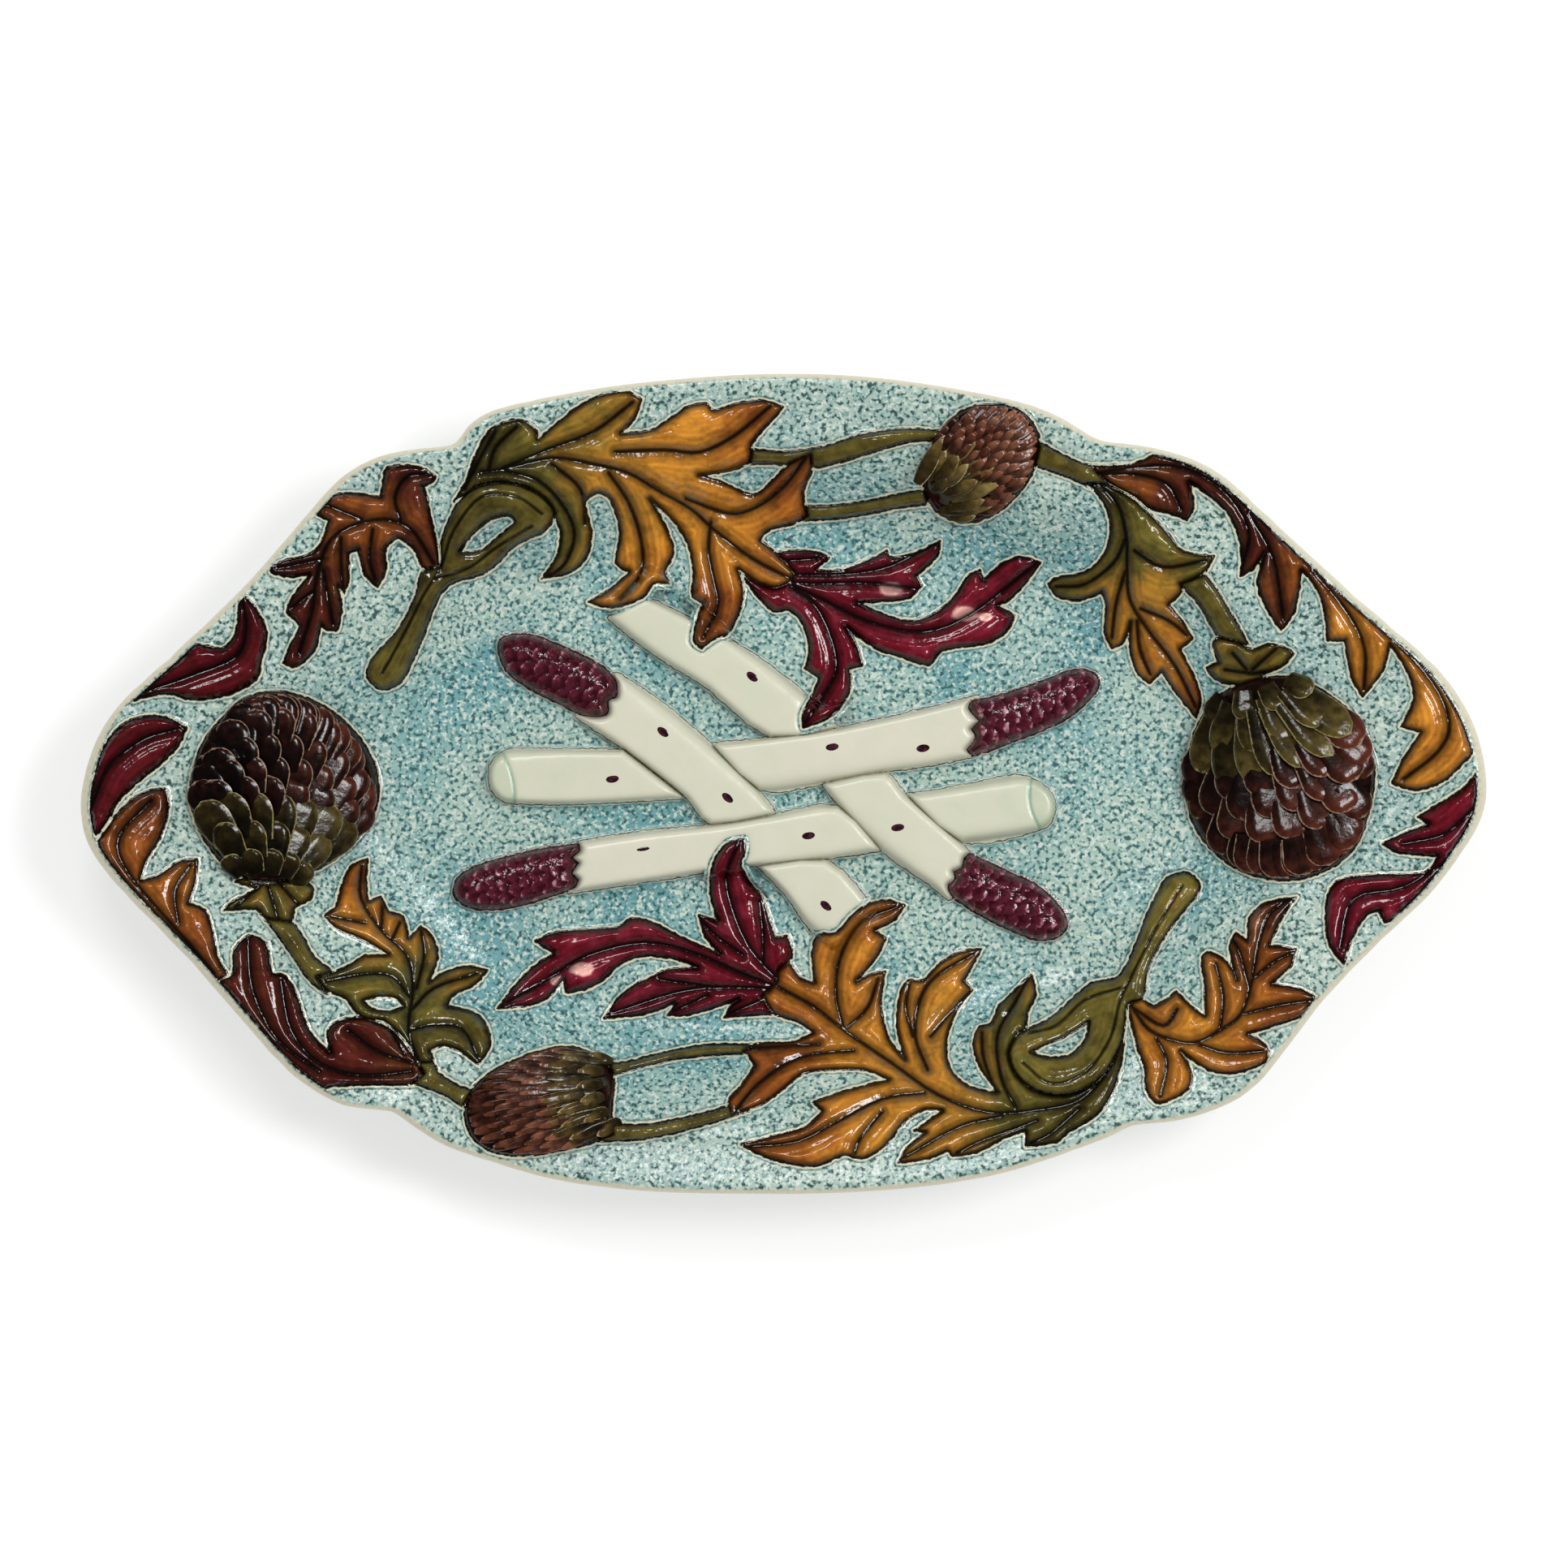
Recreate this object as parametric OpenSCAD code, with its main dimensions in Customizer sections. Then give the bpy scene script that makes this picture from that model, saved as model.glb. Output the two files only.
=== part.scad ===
// Oval asparagus platter in moulded, glazed earthenware: a shallow dish on a foot ring, with
// crossed asparagus spears on its floor and a wreath of leaves, stems, buds and artichokes.
// The origin is under the middle of the foot, X runs along the dish and Z is up.

/* [Dish] */
// Length of the dish over its rim
dish_l = 420; // [340:1:520]
// Width of the dish over its rim
dish_w = 245; // [200:1:300]
// Height of the rim above the table
dish_h = 36; // [28:1:50]
// Thickness of the clay
wall = 5.5; // [4:0.5:8]
// Height of the foot ring
foot_h = 4; // [2:0.5:8]
// Width of the foot ring's flat edge
foot_w = 7; // [4:0.5:12]
// Rise of the flat part of the rim, from the wall out to the lip
rim_rise = 4; // [2:0.5:7]

/* [Asparagus] */
// Height of the spears above the floor
spear_h = 6.5; // [4:0.5:10]
// Rounding of the spears' edges
spear_round = 2; // [1:0.25:3]
// Length of a scale mark on a spear
mark_l = 3.2; // [2:0.2:6]
// Height of a scale mark
mark_h = 0.8; // [0.4:0.1:2]

/* [Leaves] */
// Height of the leaves above the dish
leaf_h = 2.6; // [1.5:0.1:5]
// Width of the grooves along the veins of the two acanthus leaves
groove_w = 1.6; // [1:0.2:2.4]
// Width of the low edge round an acanthus leaf's raised lobes
leaf_edge = 1.2; // [0.6:0.1:2]
// Height of the stems above the dish
stem_h = 3.4; // [2:0.2:6]

/* [Heads] */
// Height of the artichokes above the dish
artichoke_h = 10; // [6:0.5:16]
// Height of the buds above the dish
bud_h = 6; // [5:0.5:12]
// Thickness of a bract or a sepal
bract_t = 2.2; // [1.2:0.2:4]
// Width of an artichoke's bract
artichoke_bract_w = 15.5; // [10:0.5:20]
// Width of a bud's bract
bud_bract_w = 9.5; // [6:0.5:13]

/* [Hidden] */

half_l = dish_l / 2;
half_w = dish_w / 2;
floor_z = foot_h + wall;
rim_z = dish_h - rim_rise;
// One overrun for every cut that goes right through
overrun = dish_h;

// Each table below holds [x, y] as shares of half the dish's length and half its width.

// The rim, counter-clockwise from the right end, with the four small steps in its edge
rim_shares = [
  [1.000, 0.000], [0.988, 0.115], [0.960, 0.215], [0.915, 0.305], [0.811, 0.459],
  [0.687, 0.657], [0.627, 0.749], [0.576, 0.796], [0.515, 0.824], [0.460, 0.836],
  [0.434, 0.852], [0.395, 0.893], [0.340, 0.930], [0.258, 0.960], [0.165, 0.985],
  [0.070, 0.999], [-0.040, 1.000], [-0.150, 0.988], [-0.255, 0.968], [-0.363, 0.933],
  [-0.420, 0.907], [-0.450, 0.872], [-0.471, 0.830], [-0.520, 0.818], [-0.575, 0.800],
  [-0.630, 0.748], [-0.683, 0.650], [-0.768, 0.483], [-0.875, 0.305], [-0.940, 0.205],
  [-0.978, 0.110], [-0.998, 0.000], [-1.000, -0.085], [-0.985, -0.165], [-0.940, -0.262],
  [-0.841, -0.438], [-0.731, -0.657], [-0.680, -0.735], [-0.625, -0.785], [-0.562, -0.799],
  [-0.535, -0.826], [-0.485, -0.880], [-0.413, -0.923], [-0.320, -0.967], [-0.193, -0.994],
  [-0.060, -1.000], [0.060, -0.999], [0.190, -0.984], [0.310, -0.950], [0.412, -0.893],
  [0.465, -0.859], [0.499, -0.833], [0.555, -0.823], [0.620, -0.790], [0.680, -0.722],
  [0.764, -0.535], [0.850, -0.380], [0.918, -0.271], [0.965, -0.165], [0.992, -0.085]
];

spear_top_left_shares = [
  [-0.240, 0.275], [-0.170, 0.195], [-0.105, 0.100], [-0.036, -0.016], [-0.010, -0.073],
  [0.060, -0.185], [0.120, -0.285], [0.105, -0.370], [0.040, -0.365], [0.000, -0.270],
  [-0.055, -0.175], [-0.105, -0.100], [-0.140, -0.035], [-0.230, 0.085], [-0.300, 0.165],
  [-0.290, 0.240]
];
spear_bottom_right_shares = [
  [-0.200, 0.465], [-0.135, 0.410], [-0.080, 0.360], [-0.030, 0.305], [0.020, 0.240],
  [0.080, 0.140], [0.145, 0.030], [0.175, -0.025], [0.255, -0.145], [0.275, -0.180],
  [0.270, -0.260], [0.235, -0.285], [0.210, -0.250], [0.140, -0.165], [0.078, -0.053],
  [0.053, 0.000], [-0.020, 0.115], [-0.110, 0.235], [-0.180, 0.310], [-0.220, 0.360],
  [-0.255, 0.410]
];
spear_top_right_shares = [
  [-0.425, 0.020], [-0.420, 0.055], [-0.405, 0.080], [-0.385, 0.088], [-0.235, 0.085],
  [-0.105, 0.100], [-0.020, 0.115], [0.080, 0.140], [0.200, 0.185], [0.280, 0.220],
  [0.300, 0.150], [0.280, 0.070], [0.200, 0.042], [0.145, 0.030], [0.053, 0.000],
  [-0.036, -0.016], [-0.140, -0.035], [-0.300, -0.050], [-0.400, -0.045], [-0.420, -0.015]
];
spear_bottom_left_shares = [
  [-0.310, -0.145], [-0.200, -0.115], [-0.105, -0.100], [-0.010, -0.073], [0.078, -0.053],
  [0.175, -0.025], [0.250, -0.005], [0.320, 0.020], [0.350, 0.018], [0.380, -0.012],
  [0.390, -0.050], [0.385, -0.090], [0.365, -0.115], [0.330, -0.125], [0.255, -0.145],
  [0.140, -0.165], [0.060, -0.185], [-0.055, -0.205], [-0.120, -0.220], [-0.210, -0.245],
  [-0.310, -0.270], [-0.330, -0.200]
];
tip_top_left_shares = [
  [-0.400, 0.365], [-0.370, 0.370], [-0.340, 0.355], [-0.300, 0.325], [-0.270, 0.300],
  [-0.250, 0.275], [-0.240, 0.250], [-0.240, 0.215], [-0.252, 0.205], [-0.252, 0.175],
  [-0.265, 0.165], [-0.290, 0.168], [-0.320, 0.195], [-0.350, 0.220], [-0.380, 0.250],
  [-0.400, 0.280], [-0.410, 0.320], [-0.410, 0.350]
];
tip_bottom_right_shares = [
  [0.265, -0.170], [0.285, -0.185], [0.320, -0.215], [0.360, -0.245], [0.385, -0.280],
  [0.400, -0.310], [0.407, -0.340], [0.400, -0.370], [0.375, -0.385], [0.345, -0.375],
  [0.300, -0.340], [0.265, -0.305], [0.240, -0.275], [0.235, -0.250], [0.245, -0.235],
  [0.243, -0.215], [0.255, -0.205], [0.258, -0.185]
];
tip_top_right_shares = [
  [0.270, 0.205], [0.300, 0.215], [0.340, 0.235], [0.380, 0.260], [0.410, 0.280],
  [0.435, 0.280], [0.450, 0.265], [0.452, 0.240], [0.440, 0.210], [0.410, 0.165],
  [0.370, 0.130], [0.330, 0.105], [0.300, 0.085], [0.270, 0.070], [0.262, 0.085],
  [0.275, 0.115], [0.268, 0.135], [0.280, 0.155], [0.265, 0.185]
];
tip_bottom_left_shares = [
  [-0.295, -0.145], [-0.310, -0.150], [-0.350, -0.160], [-0.400, -0.180], [-0.440, -0.200],
  [-0.465, -0.225], [-0.475, -0.255], [-0.470, -0.285], [-0.450, -0.305], [-0.420, -0.310],
  [-0.380, -0.300], [-0.340, -0.280], [-0.300, -0.255], [-0.295, -0.235], [-0.305, -0.220],
  [-0.295, -0.195], [-0.305, -0.180], [-0.293, -0.165]
];
// Places of the small scale marks on the spears
mark_place_shares = [
  [-0.046, 0.263], [-0.174, 0.127], [-0.081, -0.034], [-0.246, 0.012], [-0.202, -0.160],
  [0.069, 0.091], [0.199, 0.089], [0.163, -0.107], [0.035, -0.127], [0.060, -0.299]
];

leaf_brown_top_left_shares = [
  [-0.568, 0.765], [-0.556, 0.776], [-0.530, 0.776], [-0.510, 0.768], [-0.496, 0.752],
  [-0.500, 0.738], [-0.514, 0.728], [-0.508, 0.700], [-0.502, 0.640], [-0.493, 0.570],
  [-0.492, 0.530], [-0.502, 0.512], [-0.518, 0.535], [-0.530, 0.578], [-0.550, 0.600],
  [-0.568, 0.575], [-0.567, 0.520], [-0.580, 0.482], [-0.597, 0.510], [-0.607, 0.572],
  [-0.620, 0.565], [-0.620, 0.500], [-0.626, 0.465], [-0.635, 0.485], [-0.630, 0.420],
  [-0.638, 0.374], [-0.652, 0.376], [-0.660, 0.388], [-0.667, 0.335], [-0.682, 0.303],
  [-0.700, 0.284], [-0.713, 0.296], [-0.702, 0.345], [-0.690, 0.385], [-0.708, 0.420],
  [-0.700, 0.455], [-0.675, 0.512], [-0.700, 0.505], [-0.727, 0.512], [-0.731, 0.527],
  [-0.712, 0.545], [-0.672, 0.563], [-0.656, 0.600], [-0.648, 0.642], [-0.668, 0.660],
  [-0.665, 0.684], [-0.645, 0.704], [-0.615, 0.710], [-0.574, 0.700]
];
stem_cut_left_shares = [
  [-0.582, 0.234], [-0.597, 0.262], [-0.592, 0.300], [-0.575, 0.335], [-0.558, 0.365],
  [-0.540, 0.412], [-0.525, 0.470], [-0.517, 0.520], [-0.492, 0.535], [-0.490, 0.590],
  [-0.478, 0.645], [-0.462, 0.692], [-0.435, 0.727], [-0.400, 0.736], [-0.368, 0.725],
  [-0.343, 0.700], [-0.328, 0.665], [-0.340, 0.622], [-0.365, 0.602], [-0.388, 0.580],
  [-0.408, 0.545], [-0.432, 0.515], [-0.470, 0.496], [-0.487, 0.475], [-0.500, 0.435],
  [-0.516, 0.365], [-0.530, 0.310], [-0.548, 0.252], [-0.565, 0.234]
];
stem_cut_left_window_shares = [
  [-0.463, 0.568], [-0.435, 0.572], [-0.415, 0.596], [-0.384, 0.640], [-0.392, 0.656],
  [-0.420, 0.645], [-0.447, 0.607]
];
// How much of its height an acanthus leaf loses in its grooves and along its edge
groove_share = 0.55;
leaf_acanthus_top_vein_shares = [
  [
    [-0.430, 0.760], [-0.330, 0.795], [-0.222, 0.760], [-0.133, 0.675], [-0.045, 0.554],
    [0.010, 0.505]
  ],
  [[-0.400, 0.770], [-0.270, 0.860], [-0.215, 0.930]],
  [[-0.420, 0.765], [-0.380, 0.870]],
  [[-0.240, 0.810], [-0.120, 0.810], [-0.020, 0.920]],
  [[-0.140, 0.700], [-0.060, 0.660], [0.030, 0.795]],
  [[-0.105, 0.645], [-0.100, 0.500], [-0.115, 0.360]],
  [[-0.250, 0.760], [-0.205, 0.600], [-0.235, 0.455]],
  [[-0.400, 0.765], [-0.315, 0.680], [-0.315, 0.540]]
];
leaf_acanthus_top_shares = [
  [-0.470, 0.690], [-0.452, 0.745], [-0.440, 0.800], [-0.422, 0.858], [-0.402, 0.880],
  [-0.375, 0.888], [-0.354, 0.866], [-0.350, 0.842], [-0.330, 0.870], [-0.300, 0.912],
  [-0.265, 0.945], [-0.225, 0.957], [-0.202, 0.938], [-0.212, 0.895], [-0.232, 0.856],
  [-0.190, 0.864], [-0.160, 0.895], [-0.136, 0.922], [-0.110, 0.928], [-0.100, 0.912],
  [-0.070, 0.928], [-0.030, 0.936], [0.000, 0.920], [-0.020, 0.882], [-0.045, 0.832],
  [-0.048, 0.790], [-0.075, 0.768], [-0.122, 0.756], [-0.085, 0.738], [-0.045, 0.710],
  [-0.018, 0.742], [0.008, 0.785], [0.038, 0.806], [0.040, 0.770], [0.028, 0.715],
  [0.034, 0.660], [0.014, 0.640], [-0.022, 0.625], [-0.034, 0.600], [-0.012, 0.570],
  [0.002, 0.545], [0.015, 0.520], [0.008, 0.498], [-0.015, 0.483], [-0.045, 0.502],
  [-0.066, 0.530], [-0.058, 0.475], [-0.066, 0.415], [-0.080, 0.370], [-0.098, 0.358],
  [-0.118, 0.334], [-0.130, 0.352], [-0.124, 0.410], [-0.116, 0.445], [-0.132, 0.462],
  [-0.130, 0.520], [-0.138, 0.590], [-0.158, 0.645], [-0.192, 0.700], [-0.172, 0.640],
  [-0.158, 0.575], [-0.170, 0.525], [-0.164, 0.492], [-0.186, 0.492], [-0.200, 0.462],
  [-0.222, 0.443], [-0.252, 0.434], [-0.282, 0.448], [-0.250, 0.480], [-0.222, 0.522],
  [-0.242, 0.545], [-0.235, 0.620], [-0.248, 0.695], [-0.266, 0.712], [-0.284, 0.690],
  [-0.276, 0.620], [-0.283, 0.560], [-0.305, 0.522], [-0.348, 0.505], [-0.326, 0.560],
  [-0.320, 0.620], [-0.333, 0.672], [-0.352, 0.705], [-0.390, 0.728], [-0.435, 0.722]
];
leaf_burgundy_top_shares = [
  [-0.015, 0.570], [0.020, 0.576], [0.050, 0.570], [0.066, 0.558], [0.046, 0.528],
  [0.085, 0.528], [0.115, 0.550], [0.148, 0.574], [0.156, 0.558], [0.190, 0.570],
  [0.223, 0.597], [0.220, 0.560], [0.190, 0.512], [0.198, 0.488], [0.182, 0.460],
  [0.150, 0.450], [0.106, 0.446], [0.150, 0.414], [0.186, 0.402], [0.220, 0.424],
  [0.246, 0.465], [0.264, 0.512], [0.281, 0.526], [0.287, 0.502], [0.310, 0.540],
  [0.338, 0.558], [0.368, 0.545], [0.345, 0.490], [0.322, 0.452], [0.306, 0.440],
  [0.332, 0.415], [0.318, 0.372], [0.290, 0.345], [0.226, 0.328], [0.208, 0.292],
  [0.165, 0.314], [0.130, 0.335], [0.090, 0.386], [0.106, 0.335], [0.112, 0.292],
  [0.094, 0.284], [0.096, 0.240], [0.084, 0.196], [0.060, 0.158], [0.028, 0.138],
  [0.026, 0.168], [0.042, 0.224], [0.051, 0.262], [0.030, 0.284], [0.036, 0.330],
  [0.028, 0.390], [0.008, 0.428], [-0.014, 0.424], [-0.036, 0.458], [-0.064, 0.520],
  [-0.045, 0.502], [-0.015, 0.483], [0.008, 0.498], [0.015, 0.520], [0.002, 0.545]
];
stem_pair_top_shares = [
  [-0.060, 0.820], [0.000, 0.812], [0.060, 0.826], [0.110, 0.853], [0.170, 0.867],
  [0.225, 0.862], [0.225, 0.842], [0.175, 0.834], [0.110, 0.801], [0.050, 0.774],
  [-0.010, 0.782], [-0.060, 0.784]
];
stem_pair_top_lower_shares = [
  [0.010, 0.684], [0.060, 0.683], [0.120, 0.695], [0.180, 0.716], [0.220, 0.722],
  [0.220, 0.690], [0.160, 0.676], [0.090, 0.655], [0.010, 0.645]
];
bud_top_shares = [
  [0.205, 0.775], [0.213, 0.830], [0.232, 0.880], [0.262, 0.920], [0.300, 0.926],
  [0.335, 0.914], [0.357, 0.880], [0.364, 0.830], [0.355, 0.765], [0.335, 0.708],
  [0.305, 0.664], [0.265, 0.640], [0.232, 0.652], [0.205, 0.690], [0.199, 0.735]
];
stem_bud_top_shares = [
  [0.345, 0.840], [0.365, 0.835], [0.395, 0.805], [0.435, 0.778], [0.500, 0.782],
  [0.500, 0.700], [0.440, 0.720], [0.405, 0.748], [0.365, 0.772], [0.345, 0.785]
];
leaf_olive_right_shares = [
  [0.432, 0.735], [0.456, 0.685], [0.466, 0.625], [0.456, 0.560], [0.430, 0.520],
  [0.396, 0.510], [0.379, 0.494], [0.392, 0.462], [0.425, 0.452], [0.456, 0.472],
  [0.462, 0.435], [0.460, 0.375], [0.471, 0.333], [0.488, 0.350], [0.497, 0.400],
  [0.496, 0.340], [0.506, 0.275], [0.525, 0.248], [0.542, 0.276], [0.562, 0.225],
  [0.592, 0.163], [0.598, 0.210], [0.586, 0.270], [0.567, 0.330], [0.585, 0.356],
  [0.572, 0.392], [0.550, 0.440], [0.568, 0.470], [0.566, 0.490], [0.596, 0.510],
  [0.613, 0.557], [0.570, 0.568], [0.548, 0.610], [0.520, 0.662], [0.490, 0.705],
  [0.455, 0.732]
];
stem_artichoke_right_shares = [
  [0.560, 0.500], [0.600, 0.512], [0.617, 0.475], [0.640, 0.408], [0.668, 0.325],
  [0.655, 0.280], [0.635, 0.330], [0.612, 0.380], [0.592, 0.440], [0.566, 0.486]
];
collar_right_shares = [
  [0.668, 0.330], [0.690, 0.342], [0.715, 0.334], [0.726, 0.318], [0.712, 0.288],
  [0.682, 0.268], [0.700, 0.240], [0.668, 0.220], [0.650, 0.240], [0.618, 0.256],
  [0.604, 0.286], [0.622, 0.298], [0.612, 0.342], [0.622, 0.358], [0.648, 0.346]
];
artichoke_right_shares = [
  [0.667, 0.250], [0.636, 0.236], [0.608, 0.190], [0.588, 0.118], [0.578, 0.040],
  [0.580, -0.050], [0.592, -0.118], [0.625, -0.182], [0.665, -0.222], [0.712, -0.238],
  [0.760, -0.222], [0.805, -0.178], [0.824, -0.118], [0.834, -0.050], [0.843, 0.015],
  [0.836, 0.080], [0.822, 0.120], [0.814, 0.168], [0.790, 0.204], [0.764, 0.214],
  [0.756, 0.246], [0.722, 0.264], [0.690, 0.262]
];
leaf_rim_right_shares = [
  [0.436, 0.776], [0.470, 0.774], [0.505, 0.786], [0.530, 0.806], [0.560, 0.850],
  [0.660, 0.780], [0.760, 0.600], [0.860, 0.460], [0.980, 0.300], [1.020, 0.120],
  [0.984, 0.084], [0.968, 0.055], [0.940, 0.008], [0.900, -0.015], [0.866, 0.002],
  [0.880, 0.055], [0.906, 0.126], [0.878, 0.140], [0.896, 0.205], [0.888, 0.270],
  [0.862, 0.342], [0.852, 0.275], [0.824, 0.213], [0.808, 0.260], [0.798, 0.350],
  [0.774, 0.350], [0.768, 0.430], [0.756, 0.480], [0.736, 0.522], [0.728, 0.425],
  [0.708, 0.374], [0.688, 0.425], [0.674, 0.490], [0.684, 0.565], [0.668, 0.525],
  [0.650, 0.508], [0.650, 0.580], [0.630, 0.665], [0.576, 0.738], [0.584, 0.680],
  [0.574, 0.644], [0.550, 0.660], [0.520, 0.672], [0.500, 0.700], [0.462, 0.735]
];
leaf_burgundy_right_shares = [
  [0.988, 0.036], [0.968, -0.008], [0.932, -0.048], [0.902, -0.080], [0.918, -0.098],
  [0.880, -0.122], [0.852, -0.146], [0.874, -0.168], [0.930, -0.176], [0.912, -0.216],
  [0.850, -0.221], [0.798, -0.230], [0.778, -0.255], [0.771, -0.320], [0.776, -0.392],
  [0.796, -0.440], [0.806, -0.385], [0.828, -0.322], [0.846, -0.308], [0.854, -0.338],
  [0.888, -0.328], [0.960, -0.320], [1.020, -0.160], [1.020, 0.036]
];
leaf_amber_right_shares = [
  [0.492, -0.545], [0.505, -0.518], [0.528, -0.544], [0.560, -0.508], [0.582, -0.545],
  [0.600, -0.566], [0.600, -0.490], [0.596, -0.425], [0.608, -0.411], [0.632, -0.436],
  [0.645, -0.478], [0.635, -0.400], [0.644, -0.364], [0.661, -0.382], [0.664, -0.326],
  [0.686, -0.290], [0.730, -0.277], [0.710, -0.325], [0.691, -0.394], [0.729, -0.402],
  [0.722, -0.445], [0.694, -0.488], [0.735, -0.500], [0.762, -0.526], [0.738, -0.565],
  [0.700, -0.588], [0.660, -0.610], [0.686, -0.638], [0.684, -0.678], [0.640, -0.706],
  [0.604, -0.698], [0.565, -0.652], [0.580, -0.700], [0.576, -0.742], [0.552, -0.770],
  [0.528, -0.777], [0.515, -0.740], [0.514, -0.695], [0.505, -0.650], [0.497, -0.595]
];
stem_cut_right_shares = [
  [0.545, -0.240], [0.560, -0.222], [0.582, -0.220], [0.596, -0.248], [0.588, -0.280],
  [0.558, -0.342], [0.532, -0.412], [0.519, -0.465], [0.513, -0.525], [0.492, -0.540],
  [0.486, -0.600], [0.474, -0.660], [0.455, -0.710], [0.428, -0.745], [0.395, -0.760],
  [0.358, -0.748], [0.332, -0.712], [0.321, -0.660], [0.336, -0.612], [0.365, -0.590],
  [0.388, -0.566], [0.412, -0.530], [0.440, -0.490], [0.474, -0.478], [0.490, -0.448],
  [0.507, -0.380], [0.522, -0.315]
];
stem_cut_right_window_shares = [
  [0.352, -0.656], [0.374, -0.638], [0.402, -0.618], [0.436, -0.582], [0.430, -0.624],
  [0.408, -0.662], [0.374, -0.668]
];
leaf_acanthus_bottom_vein_shares = [
  [
    [-0.008, -0.500], [0.090, -0.610], [0.220, -0.760], [0.290, -0.800], [0.420, -0.770],
    [0.480, -0.620]
  ],
  [[0.085, -0.600], [0.080, -0.430], [0.165, -0.300]],
  [[0.205, -0.700], [0.195, -0.530], [0.280, -0.410]],
  [[0.330, -0.790], [0.305, -0.620], [0.350, -0.480]],
  [[0.200, -0.755], [0.080, -0.820], [-0.050, -0.885]],
  [[0.100, -0.655], [0.000, -0.690], [-0.070, -0.800]],
  [[0.310, -0.810], [0.170, -0.910]],
  [[0.420, -0.790], [0.350, -0.875]]
];
leaf_acanthus_bottom_shares = [
  [0.008, -0.438], [0.024, -0.478], [0.044, -0.490], [0.040, -0.420], [0.048, -0.372],
  [0.076, -0.364], [0.096, -0.325], [0.120, -0.295], [0.150, -0.286], [0.174, -0.300],
  [0.158, -0.336], [0.130, -0.360], [0.146, -0.380], [0.134, -0.425], [0.104, -0.486],
  [0.124, -0.468], [0.146, -0.462], [0.139, -0.540], [0.150, -0.625], [0.174, -0.678],
  [0.162, -0.600], [0.166, -0.520], [0.178, -0.484], [0.200, -0.484], [0.222, -0.444],
  [0.252, -0.414], [0.284, -0.406], [0.268, -0.456], [0.258, -0.484], [0.271, -0.506],
  [0.248, -0.558], [0.234, -0.620], [0.236, -0.690], [0.262, -0.738], [0.305, -0.755],
  [0.282, -0.700], [0.271, -0.645], [0.278, -0.600], [0.297, -0.588], [0.308, -0.545],
  [0.334, -0.504], [0.355, -0.468], [0.362, -0.515], [0.350, -0.560], [0.346, -0.600],
  [0.336, -0.640], [0.350, -0.720], [0.400, -0.740], [0.450, -0.700], [0.470, -0.630],
  [0.486, -0.600], [0.482, -0.670], [0.468, -0.752], [0.442, -0.812], [0.404, -0.850],
  [0.388, -0.874], [0.344, -0.884], [0.344, -0.845], [0.312, -0.866], [0.276, -0.898],
  [0.240, -0.908], [0.232, -0.896], [0.205, -0.915], [0.163, -0.924], [0.174, -0.888],
  [0.202, -0.850], [0.186, -0.846], [0.226, -0.798], [0.200, -0.796], [0.170, -0.828],
  [0.144, -0.884], [0.112, -0.914], [0.084, -0.906], [0.048, -0.932], [0.004, -0.926],
  [-0.035, -0.904], [-0.062, -0.880], [-0.015, -0.860], [0.030, -0.838], [0.054, -0.800],
  [0.042, -0.778], [0.090, -0.750], [0.150, -0.725], [0.115, -0.702], [0.062, -0.702],
  [0.026, -0.712], [-0.004, -0.752], [-0.036, -0.788], [-0.074, -0.806], [-0.080, -0.775],
  [-0.062, -0.740], [-0.042, -0.690], [-0.058, -0.655], [-0.036, -0.638], [0.014, -0.634],
  [0.042, -0.612], [0.022, -0.588], [-0.012, -0.568], [-0.024, -0.545], [-0.030, -0.520],
  [-0.012, -0.492], [-0.008, -0.460]
];
leaf_burgundy_bottom_shares = [
  [-0.012, -0.568], [-0.050, -0.570], [-0.087, -0.576], [-0.078, -0.550], [-0.064, -0.530],
  [-0.105, -0.554], [-0.140, -0.570], [-0.167, -0.570], [-0.155, -0.538], [-0.190, -0.562],
  [-0.222, -0.572], [-0.258, -0.576], [-0.240, -0.530], [-0.218, -0.498], [-0.192, -0.476],
  [-0.165, -0.456], [-0.124, -0.452], [-0.160, -0.430], [-0.200, -0.424], [-0.235, -0.444],
  [-0.262, -0.486], [-0.290, -0.508], [-0.314, -0.514], [-0.317, -0.480], [-0.340, -0.528],
  [-0.372, -0.546], [-0.410, -0.550], [-0.388, -0.500], [-0.362, -0.452], [-0.330, -0.418],
  [-0.358, -0.386], [-0.325, -0.364], [-0.280, -0.358], [-0.240, -0.352], [-0.218, -0.330],
  [-0.190, -0.340], [-0.150, -0.374], [-0.092, -0.418], [-0.114, -0.375], [-0.123, -0.322],
  [-0.095, -0.338], [-0.106, -0.270], [-0.102, -0.195], [-0.082, -0.146], [-0.058, -0.136],
  [-0.056, -0.165], [-0.062, -0.200], [-0.046, -0.250], [-0.032, -0.276], [-0.022, -0.330],
  [-0.012, -0.378], [0.004, -0.374], [0.012, -0.410], [0.008, -0.438], [-0.008, -0.460],
  [-0.012, -0.492], [-0.030, -0.520], [-0.024, -0.545]
];
stem_pair_bottom_shares = [
  [-0.265, -0.690], [-0.220, -0.680], [-0.160, -0.655], [-0.100, -0.640], [-0.030, -0.641],
  [-0.030, -0.663], [-0.095, -0.665], [-0.160, -0.677], [-0.215, -0.699], [-0.265, -0.725]
];
stem_pair_bottom_lower_shares = [
  [-0.265, -0.828], [-0.195, -0.831], [-0.130, -0.810], [-0.050, -0.775], [-0.050, -0.800],
  [-0.095, -0.824], [-0.150, -0.850], [-0.205, -0.868], [-0.265, -0.872]
];
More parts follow.
